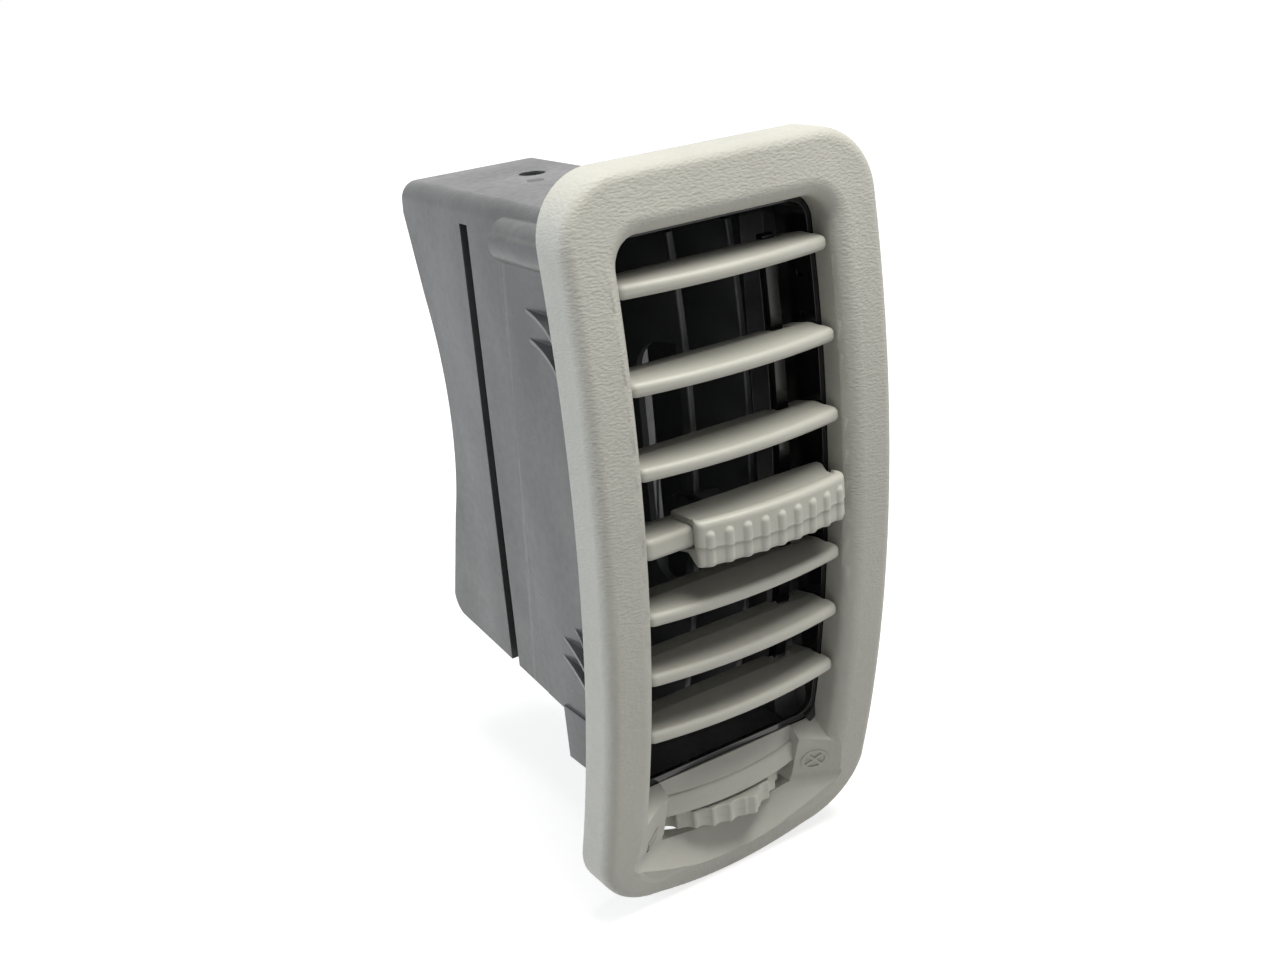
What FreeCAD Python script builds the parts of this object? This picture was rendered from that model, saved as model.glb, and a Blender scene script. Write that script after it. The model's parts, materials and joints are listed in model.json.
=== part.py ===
import FreeCAD, Part
import math
import os
import re
import Sketcher

V = FreeCAD.Vector

# Driving dimensions in millimetres and degrees
SIZES = [
    ("bow_radius", 425, "side-view bow of the whole front"),
    ("bow_height", 31.7, "height at which the front stands furthest forward"),
    ("rim_side", 14.5, "width of the bezel's rim beside the opening"),
    ("rim_top", 16, "width of the bezel's rim above the opening"),
    ("bezel_low", 112, "depth of the bezel's bottom corners below the origin"),
    ("bezel_sag", 3.5, "extra drop of the bowed bottom edge"),
    ("bezel_corner_top", 17, "upper corner radius"),
    ("bezel_corner_low", 20, "lower corner radius"),
    ("bezel_front", 4, "crown in front of the slat noses"),
    ("bezel_back", 7.8, "rear edge behind the slat noses"),
    ("bezel_wall", 2.4, "bezel wall"),
    ("bezel_round", 3.4, "outer front edge radius"),
    ("mouth_over", 1.5, "the opening is this much wider than the slat frame, each side"),
    ("mouth_lift", 2, "the opening's top stands this far above the slat frame's inside"),
    ("stock", 60, "depth of the blocks that curved fronts are cut from"),
    ("mouth_low", 101, "bottom of the rim's inner outline below the origin"),
    ("mouth_corner", 7, "opening corner radius"),
    ("mouth_round", 4.2, "inner front edge radius"),
    ("flank_back", 6.2, "depth of the opening's flank behind the slat noses"),
    ("collar", 1.6, "wall of the opening's flank"),
    ("seam", 0.2, "seam between bezel flank and slat frame"),
    ("frame_half", 30, "half width inside the slat frame"),
    ("frame_wall", 2.3, "slat frame wall"),
    ("frame_top", 77, "top inside the slat frame"),
    ("frame_low", 74, "bottom inside the slat frame, below the origin"),
    ("frame_corner", 5, "slat frame inner corner radius"),
    ("frame_back", 21.5, "rear face of the slat frame"),
    ("flange_side", 7.5, "flanges reach this far past the frame's inside, each side"),
    ("flange_low", 66, "bottom of the flanges below the origin"),
    ("flange_over", 5, "flange height above and below the frame wall"),
    ("flange_wall", 2, "flange thickness"),
    ("slat_over", 1, "slat tips reach this far past the frame's inside, each side"),
    ("end_gap", 0.6, "clearance between a slat's shoulder and the frame wall"),
    ("slat_step", 4.4, "slats narrow to their shoulders this far behind their front corners"),
    ("slat_straight", 2.6, "straight part of a slat's end"),
    ("slat_depth", 16.2, "slat depth behind its front corners"),
    ("slat_nose", 3.4, "slat nose thickness"),
    ("slat_thick", 4.2, "slat thickness at its pivot"),
    ("slat_tail", 1.3, "slat thickness at its rear edge"),
    ("key_extra", 2.2, "extra thickness of the slat that carries the knob"),
    ("key_depth", 12.4, "depth of the knob's slat where the fork passes"),
    ("nose_round", 1.5, "rounding of a slat's nose"),
    ("slat_sag", 3.5, "plan bow of a slat's front edge"),
    ("slat_corner", 2.2, "slat front corner radius"),
    ("slat_pivot", 8.5, "pivot behind the slat's front corners"),
    ("slat_pin", 1.2, "pivot pin radius"),
    ("link_reach", 13.9, "link pin behind the slat's front corners"),
    ("link_pin", 1, "link pin radius"),
    ("link_side", 8.1, "link bar's middle inside the frame's right wall"),
    ("link_width", 3.6, "link bar width"),
    ("link_thick", 3, "link bar thickness"),
    ("link_room", 1.2, "side clearance of the link bar in its notch"),
    ("notch_front", 10.2, "front of the link notch behind the slat's front corners"),
    ("run_gap", 0.06, "radial running clearance of pins"),
    ("slat_height_1", 66.5, "height of the first slat"),
    ("slat_height_2", 43, "height of the second slat"),
    ("slat_height_3", 21.6, "height of the third slat"),
    ("slat_height_4", 1.5, "height of the slat with the knob"),
    ("slat_height_5", -18.2, "height of the fifth slat"),
    ("slat_height_6", -36.3, "height of the sixth slat"),
    ("slat_height_7", -54.7, "height of the seventh slat"),
    ("knob_room", 5.5, "the knob is this much shorter than the frame is wide, each side"),
    ("knob_nip", 1.9, "the knob's waist is this much narrower, each side"),
    ("knob_waist_back", 1.6, "the knob's waist behind the slat's front corners"),
    ("knob_tail_nip", 0.6, "the knob's rear is this much narrower than its front, each side"),
    ("knob_side_round", 9, "radius of the curves down the knob's sides"),
    ("knob_round", 1.6, "rounding of the knob's upright front corners"),
    ("knob_up", 5.1, "knob top above the slat's middle, at its rear edge"),
    ("knob_down", 6.8, "knob bottom below the slat's middle"),
    ("knob_front", 4, "knob front corners in front of the slat's front corners"),
    ("knob_sag", 3, "plan bow of the knob's front"),
    ("knob_lip", 4.7, "height of the knob's front lip above the slat's middle"),
    ("knob_hollow", 9.6, "radius of the hollow in the knob's top"),
    ("knob_dip", 0.5, "how far the hollow lies below the lip"),
    ("knob_chin", 5.4, "length of the knob's lower plate behind its front corners"),
    ("knob_back", 8.6, "knob rear edge behind the slat's front corners"),
    ("knob_rib", 1.25, "radius of a grip rib"),
    ("rib_margin", 3.3, "outer grip ribs inside the knob's ends"),
    ("rib_back", 0.45, "axes of the grip ribs behind the knob's front face"),
    ("rib_drop", 2.4, "the ribs' domes stay this far below the knob's lip"),
    ("rib_foot", 0.5, "lower ends of the ribs above the knob's bottom"),
    ("knob_ribs", 9, "number of grip ribs"),
    ("slide_gap", 0.3, "sliding clearance of the knob on its slat"),
    ("pad_wide", 8, "friction pad width"),
    ("pad_thick", 1.45, "friction pad thickness"),
    ("pad_cover", 0.6, "wall of the knob under the friction pad"),
    ("vane_gap", 18, "distance between the vane axes"),
    ("vane_axis", 37.3, "vane axis behind the origin"),
    ("vane_tail", 12, "vane rear edge behind its axis"),
    ("vane_thick", 2.4, "vane thickness"),
    ("vane_end", 3.5, "room above the vanes"),
    ("vane_foot", 2.2, "room below the vanes"),
    ("vane_back", 18.3, "vane front edge behind the slat noses"),
    ("vane_pin", 1.2, "vane pin radius"),
    ("vane_swing", 19, "vanes' turn to the right at rest, in degrees"),
    ("vane_crank", 8, "vane link pins behind the vane axes"),
    ("post_width", 2.6, "depth of the driven vane's front post"),
    ("window_depth", 16.2, "rear end of the driven vane's window behind its front edge"),
    ("window_top", 45, "top of the window"),
    ("window_low", 24, "bottom of the window below the origin"),
    ("window_round", 9, "rear corner radius of the window"),
    ("fork_room", 12.5, "half width of the cut in the knob's slat for the fork"),
    ("fork_wall", 1.6, "fork tine thickness"),
    ("fork_arm", 0.9, "thickness of the fork's arms"),
    ("fork_socket", 2.5, "how far the fork's arms sit in the knob"),
    ("fork_gap", 3.8, "distance between the fork's tines"),
    ("fork_reach", 24, "fork tip behind the slat's front corners"),
    ("fork_tall", 3, "fork height"),
    ("duct_step", 5.5, "the duct is this much narrower than the slat frame, each side"),
    ("duct_wall", 2, "duct wall"),
    ("duct_floor_front", 78.5, "duct floor below the origin, at the flange"),
    ("duct_floor_back", 64.4, "duct floor below the origin, at the rear"),
    ("duct_back_top", 131.5, "rear edge at the top"),
    ("duct_back_mid", 127.9, "rear edge at the kink"),
    ("duct_back_knee", 126, "rear edge at the upper end of its hollow"),
    ("duct_knee", 45, "height of the hollow's upper end"),
    ("duct_floor_end", 132, "rear end of the duct's floor"),
    ("throat_back", 28, "rear face of the wide throat"),
    ("throat_wall", 1.5, "rear wall of the throat"),
    ("duct_kink", 27.4, "height of the kink below the origin"),
    ("duct_back_low", 138, "rear edge at the lower corner"),
    ("duct_back_bow", 100, "radius of the rear edge's hollow"),
    ("duct_round", 5, "radius of the duct's top edges"),
    ("panel_back", 74, "rear edge of the proud front panel"),
    ("panel_proud", 0.8, "how far the front panel stands proud"),
    ("groove_place", 90.3, "front edge of the side groove"),
    ("groove_lean", 6, "how far the groove runs back towards its foot"),
    ("groove_wide", 4.6, "side groove width"),
    ("groove_deep", 3, "side groove depth"),
    ("core_back", 102.6, "rear end of the damper's seat"),
    ("core_front", 88.4, "front end of the damper's seat"),
    ("gusset_wall", 1.2, "gusset thickness"),
    ("top_hole", 4, "radius of the hole in the top wall"),
    ("top_hole_side", 5.5, "hole in the top wall, right of the middle"),
    ("top_hole_back", 104.5, "hole in the top wall, behind the origin"),
    ("clip_round", 6.2, "radius of the half-round boss near the top"),
    ("clip_back", 66, "rear end of the half-round boss"),
    ("box_half", 26, "half width of the wheel box"),
    ("box_front", 27, "front wall of the wheel box"),
    ("box_top", 70, "top of the wheel box below the origin"),
    ("box_back", 66, "rear wall of the wheel box"),
    ("box_low", 87.5, "bottom of the wheel box below the origin"),
    ("wheel_radius", 25, "thumbwheel radius"),
    ("wheel_axis", 39.3, "thumbwheel axis behind the origin"),
    ("wheel_high", 88.7, "top of the thumbwheel below the origin"),
    ("wheel_thick", 5.9, "thumbwheel thickness"),
    ("wheel_rim", 3.4, "rim wall of the thumbwheel"),
    ("wheel_web", 2.4, "web thickness of the thumbwheel"),
    ("wheel_hub", 3, "hub wall of the thumbwheel round its spindle"),
    ("wheel_seat", 2.6, "how deep the spindle sits in the thumbwheel"),
    ("scallop_radius", 3.3, "radius of the scallops in the wheel's rim"),
    ("scallop_deep", 1, "depth of the scallops"),
    ("scallop_pitch", 12, "pitch of the scallops, in degrees"),
    ("pointer_half", 2.6, "half width of the wheel's pointer at its foot"),
    ("pointer_tip", 0.5, "half width of the pointer's tip"),
    ("pointer_reach", 1.3, "how far the pointer stands out of the rim"),
    ("pointer_foot", 0.5, "depth of the pointer's foot inside the rim"),
    ("wheel_turn", 9, "pointer's turn to the right at rest, in degrees"),
    ("hood_radius", 75, "plan radius of the hood over the wheel"),
    ("hood_front", 16.4, "front of the hood behind the origin"),
    ("hood_low", 87.6, "lower edge of the hood below the origin"),
    ("hood_top", 81.1, "top edge of the hood's front below the origin"),
    ("hood_round", 1.2, "rounding of the hood's top edge"),
    ("hood_wall", 2.2, "hood wall"),
    ("slot_half", 22.8, "half width of the wheel slot"),
    ("slot_low", 96.2, "bottom of the wheel slot below the origin"),
    ("slot_sag", 3.8, "extra drop of the scooped slot edge"),
    ("roof_foot", 82.8, "front edge of the sloped roof beside the hood, below the origin"),
    ("roof_head", 76.4, "rear edge of the roof below the origin"),
    ("dish_axis", 41.75, "upright axis of the dished face round the slot, in front of the origin"),
    ("dish_top", 63.1, "dish radius at the hood's top edge"),
    ("dish_deep", 67.3, "dish radius at the slot's bottom"),
    ("dish_foot", 61.2, "dish radius at its lower end"),
    ("dish_low", 107.8, "lower end of the dish below the origin"),
    ("icon_side", 28.2, "pictograms right and left of the middle"),
    ("icon_open", 91.5, "middle of the left pictogram below the origin"),
    ("icon_shut", 88.6, "middle of the right pictogram below the origin"),
    ("icon_pitch", 1.5, "pitch of the left pictogram's three lines"),
    ("icon_radius", 3.6, "radius of the ring pictogram"),
    ("icon_line", 0.8, "line width of the pictograms"),
    ("icon_proud", 0.4, "how far the pictograms stand proud"),
    ("damper_axis", 92.6, "damper axis behind the origin"),
    ("damper_foot", 0.6, "least clearance between the seal and the duct's floor"),
    ("damper_thick", 1.8, "damper flap thickness"),
    ("damper_shaft", 2.5, "damper shaft radius"),
    ("damper_turn", 36, "flap's turn away from closed at rest, in degrees"),
    ("seal_wide", 2.4, "seal width over the flap's edge"),
    ("seal_room", 0.3, "clearance between the seal and the duct's side walls"),
    ("seal_end", 0.8, "clearance between the seal and the duct's top"),
    ("seal_proud", 0.6, "how far the seal stands past the flap's edge"),
    ("crank_reach", 8, "pin distance of both cranks"),
    ("crank_level", 84.8, "underside of both cranks below the origin"),
    ("crank_thick", 2, "crank thickness"),
    ("crank_pin", 1, "crank pin radius"),
    ("crank_round", 3.6, "radius of the cranks' ends"),
    ("rod_wide", 4.4, "damper rod width"),
    ("rod_thick", 1.6, "damper rod thickness"),
    ("spindle", 3, "wheel spindle radius"),
    ("screw_core", 1.2, "screw shank radius"),
    ("screw_head", 2.3, "screw head radius"),
    ("screw_cap", 1.6, "head height of the frame screws"),
    ("screw_bite", 8, "frame screws reach this far past both flanges"),
    ("axle_long", 7, "shank length of the axle screws"),
    ("axle_cap", 1.4, "head height of the axle screws"),
    ("axle_over", 0.9, "the damper crank's screw has a head this much larger"),
    ("cross_half", 1.7, "half length of the cross in an axle screw's head"),
    ("cross_side", 0.3, "half width of the cross"),
    ("cross_deep", 0.7, "depth of the cross"),
    ("screw_high", 58, "upper frame screws above the origin"),
    ("screw_low", 60, "lower frame screws below the origin"),
    ("boss_radius", 2.5, "radius of the bezel's screw bosses"),
    ("land_half", 28, "half length of the flange's seating lands"),
    ("land_wide", 4.4, "width of the seating lands"),
    ("land_proud", 0.6, "how far the seating lands stand proud of the flange"),
]

# Sizes that follow from others
DERIVED = [
    ("mouth_half", "frame_half + mouth_over", "half width of the outlet opening"),
    ("mouth_top", "frame_top + mouth_lift", "top of the opening"),
    ("bezel_half", "mouth_half + rim_side", "half width of the bezel"),
    ("bezel_top", "mouth_top + rim_top", "top of the bezel"),
    ("flange_half", "frame_half + flange_side", "half width of the flanges"),
    ("screw_side", "(frame_half + frame_wall + flange_half) / 2", "frame screws right and left of the middle"),
    ("slat_half", "frame_half + slat_over", "half length of a slat"),
    ("slat_shoulder", "frame_half - end_gap", "half length of a slat between the frame walls"),
    ("link_middle", "frame_half - link_side", "link bar's place along the slats"),
    ("knob_half", "frame_half - knob_room", "half width of the knob"),
    ("knob_waist", "knob_half - knob_nip", "half width of the knob at its waist"),
    ("knob_pitch", "2 * (knob_half - rib_margin) / (knob_ribs - 1)", "pitch of the grip ribs"),
    ("vane_top", "frame_top - vane_end", "top of the vanes"),
    ("vane_low", "frame_low - vane_foot", "bottom of the vanes below the origin"),
    ("duct_half", "frame_half - duct_step", "half width of the duct"),
    ("duct_top", "frame_top + duct_wall", "top of the duct"),
    ("core_half", "duct_half - groove_deep - duct_wall", "half width of the duct's inside at the damper"),
    ("damper_half", "core_half - seal_proud - seal_room", "half width of the damper flap"),
    ("damper_top", "frame_top - seal_proud - seal_end", "top of the damper flap"),
    ("floor_rise", "(duct_floor_front - duct_floor_back) / (duct_floor_end - frame_back)", "slope of the duct's floor"),
    ("damper_low", "duct_floor_front - (damper_axis + damper_half - frame_back) * floor_rise"
     " - duct_wall - seal_proud - damper_foot", "bottom of the damper flap below the origin"),
]
SIZE_NAMES = {name for name, value, note in SIZES + DERIVED}

# Gussets behind the flange: height, and how far back each tip lies
GUSSETS = [(51.8, 63.2), (43.7, 63), (-40.9, 56.7), (-46.3, 65.4), (-52.7, 67.4)]

doc = FreeCAD.newDocument("AirVent")
sheet = doc.addObject("Spreadsheet::Sheet", "Sizes")
for row, (name, value, note) in enumerate(SIZES + DERIVED, start=1):
    sheet.set(f"A{row}", name)
    sheet.set(f"B{row}", f"={value}")
    sheet.setAlias(f"B{row}", name)
    sheet.set(f"C{row}", note)
doc.recompute()

BODIES = []


def bound(text):
    """An expression with each size's name made a reference to its cell."""
    def swap(match):
        word = match.group(0)
        return f"Sizes.{word}" if word in SIZE_NAMES else word
    return re.sub(r"[a-z_]+[a-z_0-9]*", swap, str(text))


def value(text):
    """The number that an expression gives now."""
    return float(sheet.evalExpression(bound(text)))


def bow(height, depth="0"):
    """Distance behind the origin of the bowed front, set back by a depth, at a height."""
    return f"(bow_radius - sqrt((bow_radius - ({depth}))^2 - (({height}) - bow_height)^2))"


def bind(thing, prop, text):
    """Ties a property to an expression of the sizes."""
    thing.setExpression(prop, bound(text))


def new_body(label, place=("0", "0", "0"), turn="0"):
    """An empty body, set at a place and turned about the upright axis by bound values."""
    body = doc.addObject("PartDesign::Body", label)
    body.Label = label
    body.Placement = FreeCAD.Placement(V(0, 0, 0), FreeCAD.Rotation(V(0, 0, 1), value(turn)))
    for axis, text in zip("xyz", place):
        bind(body, f"Placement.Base.{axis}", text)
    if turn != "0":
        bind(body, "Placement.Rotation.Angle", turn)
    BODIES.append(body)
    return body


def sketch_on(body, name, plane, loops, offset="0", shift="0"):
    """Closed loops on an origin plane. A point is (u, v) or (u, v, bend): bend is the radius of
    the arc that leads to the next point, positive if its centre lies on the left. A circle is
    ("circle", u, v, radius)."""
    sketch = body.newObject("Sketcher::SketchObject", name)
    base = [o for o in body.Origin.OriginFeatures if o.Role == plane + "_Plane"][0]
    sketch.AttachmentSupport = (base, [""])
    sketch.MapMode = "FlatFace"
    bind(sketch, "AttachmentOffset.Base.z", offset)
    bind(sketch, "AttachmentOffset.Base.x", shift)
    for loop in loops:
        if loop[0] == "circle":
            draw_circle(sketch, *loop[1:])
        else:
            draw_loop(sketch, loop)
    return sketch


def pin_point(sketch, piece, end, u, v):
    """Fixes one end of a sketch piece at bound coordinates."""
    for kind, text in (("DistanceX", u), ("DistanceY", v)):
        number = sketch.addConstraint(Sketcher.Constraint(kind, -1, 1, piece, end, value(text)))
        sketch.setExpression(f"Constraints[{number}]", bound(text))


def draw_circle(sketch, u, v, radius):
    """Adds a circle whose centre and radius are bound."""
    centre = V(value(u), value(v), 0)
    piece = sketch.addGeometry(Part.Circle(centre, V(0, 0, 1), value(radius)))
    pin_point(sketch, piece, 3, u, v)
    number = sketch.addConstraint(Sketcher.Constraint("Radius", piece, value(radius)))
    sketch.setExpression(f"Constraints[{number}]", bound(radius))


def arc_between(first, last, bend):
    """Minor arc between two points; its start and end as a sketch counts them."""
    radius = abs(bend)
    middle = (first + last) * 0.5
    chord = last - first
    side = V(-chord.y, chord.x, 0).normalize() * math.copysign(1, bend)
    centre = middle + side * math.sqrt(max(radius ** 2 - (chord.Length / 2) ** 2, 0))
    start, end = (first, last) if bend > 0 else (last, first)
    angles = [math.atan2(p.y - centre.y, p.x - centre.x) for p in (start, end)]
    return Part.ArcOfCircle(Part.Circle(centre, V(0, 0, 1), radius), *angles)


def draw_loop(sketch, loop):
    """Adds a closed loop of lines and arcs whose corners and radii are bound."""
    corners = [V(value(point[0]), value(point[1]), 0) for point in loop]
    ends = []
    for i, point in enumerate(loop):
        first = corners[i]
        last = corners[(i + 1) % len(loop)]
        if len(point) == 3:
            bend = value(point[2])
            piece = sketch.addGeometry(arc_between(first, last, bend))
            ends.append((piece, 1, 2) if bend > 0 else (piece, 2, 1))
            number = sketch.addConstraint(Sketcher.Constraint("Radius", piece, abs(bend)))
            sketch.setExpression(f"Constraints[{number}]", f"abs({bound(point[2])})")
        else:
            piece = sketch.addGeometry(Part.LineSegment(first, last))
            ends.append((piece, 1, 2))
    for i, (piece, start, end) in enumerate(ends):
        after, after_start = ends[(i + 1) % len(ends)][:2]
        sketch.addConstraint(Sketcher.Constraint("Coincident", piece, end, after, after_start))
        pin_point(sketch, piece, start, loop[i][0], loop[i][1])


def pad(body, name, plane, loops, length, offset="0", both=False, back=False):
    """Adds material over a length from a plane, to both sides of it, or the other way."""
    feature_sketch = sketch_on(body, name + "_sketch", plane, loops, offset)
    feature = body.newObject("PartDesign::Pad", name)
    feature.Profile = feature_sketch
    feature.Midplane = both
    feature.Reversed = back
    bind(feature, "Length", length)
    body.Tip = feature
    return feature


def pocket(body, name, plane, loops, length=None, offset="0", both=False, back=False):
    """Removes material over a length, or right through to both sides where none is given."""
    feature_sketch = sketch_on(body, name + "_sketch", plane, loops, offset)
    feature = body.newObject("PartDesign::Pocket", name)
    feature.Profile = feature_sketch
    if length is None:
        feature.Type = "ThroughAll"
        feature.Midplane = True
    else:
        feature.Midplane = both
        feature.Reversed = back
        bind(feature, "Length", length)
    body.Tip = feature
    return feature


def revolve(body, name, plane, loops, angle=None, shift="0", cut=False):
    """Turns a profile about the sketch's upright axis: right round or to both sides, to add or cut."""
    feature_sketch = sketch_on(body, name + "_sketch", plane, loops, shift=shift)
    feature = body.newObject("PartDesign::Groove" if cut else "PartDesign::Revolution", name)
    feature.Profile = feature_sketch
    feature.ReferenceAxis = (feature_sketch, ["V_Axis"])
    if angle is None:
        feature.Angle = 360
    else:
        feature.Midplane = True
        bind(feature, "Angle", angle)
    body.Tip = feature
    return feature


def fillet(body, name, radius, wanted):
    """Rounds the edges of the body so far that a test picks."""
    doc.recompute()
    base = body.Tip
    names = [f"Edge{i}" for i, edge in enumerate(base.Shape.Edges, start=1) if wanted(edge)]
    feature = body.newObject("PartDesign::Fillet", name)
    feature.Base = (base, names)
    bind(feature, "Radius", radius)
    body.Tip = feature
    return feature


def chamfer(body, name, size, wanted):
    """Breaks the edges of the body so far that a test picks."""
    doc.recompute()
    base = body.Tip
    names = [f"Edge{i}" for i, edge in enumerate(base.Shape.Edges, start=1) if wanted(edge)]
    feature = body.newObject("PartDesign::Chamfer", name)
    feature.Base = (base, names)
    bind(feature, "Size", size)
    body.Tip = feature
    return feature


def ball(body, name, place, radius):
    """Adds a sphere at a bound place in the body's own frame."""
    feature = body.newObject("PartDesign::AdditiveSphere", name)
    for axis, text in zip("xyz", place):
        bind(feature, f"Placement.Base.{axis}", text)
    bind(feature, "Radius", radius)
    body.Tip = feature
    return feature


def join(body, name, tools, kind):
    """Fuses, cuts or intersects a body with tool bodies, which then stop being parts."""
    doc.recompute()
    feature = body.newObject("PartDesign::Boolean", name)
    feature.addObjects(tools)
    feature.Type = kind
    body.Tip = feature
    for tool in tools:
        BODIES.remove(tool)
    return feature


def rounded(left, low, right, high, *radii):
    """Rectangle with rounded corners: one radius, or lower-right, upper-right, upper-left, lower-left."""
    lr, ur, ul, ll = radii if len(radii) == 4 else radii * 4
    return [
        (f"{left} + ({ll})", low),
        (f"{right} - ({lr})", low, lr),
        (right, f"{low} + ({lr})"),
        (right, f"{high} - ({ur})", ur),
        (f"{right} - ({ur})", high),
        (f"{left} + ({ul})", high, ul),
        (left, f"{high} - ({ul})"),
        (left, f"{low} + ({ll})", ll),
    ]


def rectangle(left, low, right, high):
    """Corners of a rectangle, in order."""
    return [(left, low), (right, low), (right, high), (left, high)]


def bow_shell(front, back, high, low):
    """Side profile of the band between two set-backs of the bowed front."""
    return [
        (bow(low, front), low),
        (bow(low, back), low, f"0 - (bow_radius - ({back}))"),
        (bow(high, back), high),
        (bow(high, front), high, f"bow_radius - ({front})"),
    ]


def mirrored(loop):
    """The same loop on the other side of the upright sketch axis."""
    if loop[0] == "circle":
        return ("circle", f"0 - ({loop[1]})", loop[2], loop[3])
    turned = []
    for point in loop:
        bend = [f"0 - ({point[2]})"] if len(point) == 3 else []
        turned.append((f"0 - ({point[0]})", point[1], *bend))
    return turned


def ahead_of(depth, reach="0 - stock"):
    """Side region in front of a set-back of the bowed front, or behind it with a reach to the back."""
    low = "0 - bezel_low - bezel_sag - rim_side"
    high = "bezel_top + rim_top"
    return [
        (reach, low),
        (bow(low, depth), low, f"0 - (bow_radius - ({depth}))"),
        (bow(high, depth), high),
        (reach, high),
    ]


def bezel_outline(inset):
    """Front outline of the bezel, moved inwards: rounded corners and a bowed bottom edge."""
    side = f"bezel_half - ({inset})"
    low = f"0 - (bezel_low - ({inset}))"
    top = f"bezel_top - ({inset})"
    low_round = f"bezel_corner_low - ({inset})"
    top_round = f"bezel_corner_top - ({inset})"
    flat = "bezel_half - bezel_corner_low"
    crown = "bezel_half - bezel_corner_top"
    low_arc = f"({low_round}) * 1.1"
    return [
        (f"0 - ({flat})", low, f"(({flat})^2 + bezel_sag^2) / (2 * bezel_sag)"),
        (flat, low, low_arc),
        (side, f"{low} + {low_round}"),
        (side, f"{top} - ({top_round})", top_round),
        (crown, top),
        (f"0 - ({crown})", top, top_round),
        (f"0 - ({side})", f"{top} - ({top_round})"),
        (f"0 - ({side})", f"{low} + {low_round}", low_arc),
    ]


def on_bow(edge, depth):
    """Whether the middle of an edge lies on a set-back of the bowed front."""
    middle = edge.valueAt((edge.FirstParameter + edge.LastParameter) / 2)
    radius = value("bow_radius")
    reach = math.hypot(radius - middle.y, middle.z - value("bow_height"))
    return abs(reach - (radius - depth)) < 0.02


def outer_edge(edge):
    """Whether an edge of the bezel's front belongs to its outside, not to the opening."""
    box = edge.BoundBox
    wide = max(abs(box.XMin), abs(box.XMax)) > value("mouth_half + rim_side / 2")
    above = box.ZMin > value("mouth_top + rim_top / 2")
    return wide or above or box.ZMax < value("0 - (mouth_low + bezel_low) / 2")


SLATS = [f"slat_height_{number}" for number in range(1, 8)]
KEY = "slat_height_4"
SCREWS = [(side, height) for side in ("screw_side", "0 - screw_side") for height in ("screw_high", "0 - screw_low")]


def dish_profile(inset):
    """Half profile of the dished face round the wheel slot, about an upright axis ahead of the part."""
    return [
        ("mouth_half", "0 - dish_low"),
        (f"dish_foot - ({inset})", "0 - dish_low"),
        (f"dish_deep - ({inset}) - 0.4", "0 - slot_low - 3.2", "4.5"),
        (f"dish_deep - ({inset}) - 0.4", "2.6 - slot_low"),
        (f"dish_top - ({inset})", "0 - hood_top"),
        (f"dish_top - ({inset}) - 2.2", "0 - roof_head"),
        ("mouth_half", "0 - roof_head"),
    ]


def stroke(u, v, half, turn):
    """Straight line of a pictogram: its middle, half length and slope."""
    loop = []
    for along, across in ((-1, -1), (1, -1), (1, 1), (-1, 1)):
        reach = f"({along} * ({half}))"
        side = f"({across} * icon_line / 2)"
        loop.append((f"{u} + {reach} * cos({turn}) - {side} * sin({turn})",
                     f"{v} + {reach} * sin({turn}) + {side} * cos({turn})"))
    return loop


def make_pictograms():
    """Raised signs beside the slot: three slanting lines for open, a crossed ring for shut."""
    body = new_body("pictograms")
    front = "0 - hood_front - hood_wall - 2"
    deep = "hood_front"
    for step in (-1, 0, 1):
        line = stroke("0 - icon_side", f"{step} * icon_pitch - icon_open", "icon_radius * 0.75", "42")
        pad(body, f"open_line_{step + 1}", "XZ", [line], deep, offset=front)
    ring = [("circle", "icon_side", "0 - icon_shut", "icon_radius"),
            ("circle", "icon_side", "0 - icon_shut", "icon_radius - icon_line")]
    pad(body, "shut_ring", "XZ", ring, deep, offset=front)
    for name, turn in (("shut_rise", "45"), ("shut_fall", "-45")):
        pad(body, name, "XZ", [stroke("icon_side", "0 - icon_shut", "icon_radius - icon_line / 2", turn)], deep,
            offset=front)
    revolve(body, "icon_face", "YZ", [dish_profile("icon_proud")], shift="0 - dish_axis", cut=True)
    return body


def make_hood_roof():
    """Solid between the hood's curved top edge and the straight edge of the slat frame above it."""
    body = new_body("hood_roof")
    rim = "hood_radius - hood_round / 2"
    end = f"(hood_front + hood_radius - sqrt(({rim})^2 - slot_half^2))"
    low = [
        ("0 - slot_half", end, rim),
        ("slot_half", end),
        ("slot_half", "hood_front + 8"),
        ("0 - slot_half", "hood_front + 8"),
    ]
    head = bow("0 - roof_head", "flank_back")
    high = [
        ("0 - slot_half", f"{head} + 0.02", "10 * hood_radius"),
        ("slot_half", f"{head} + 0.02"),
        ("slot_half", "hood_front + 8"),
        ("0 - slot_half", "hood_front + 8"),
    ]
    first = sketch_on(body, "roof_foot_sketch", "XY", [low], "0 - hood_top")
    last = sketch_on(body, "roof_head_sketch", "XY", [high], "0 - roof_head")
    roof = body.newObject("PartDesign::AdditiveLoft", "roof_loft")
    roof.Profile = first
    roof.Sections = [last]
    roof.Ruled = True
    body.Tip = roof
    return body


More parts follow.
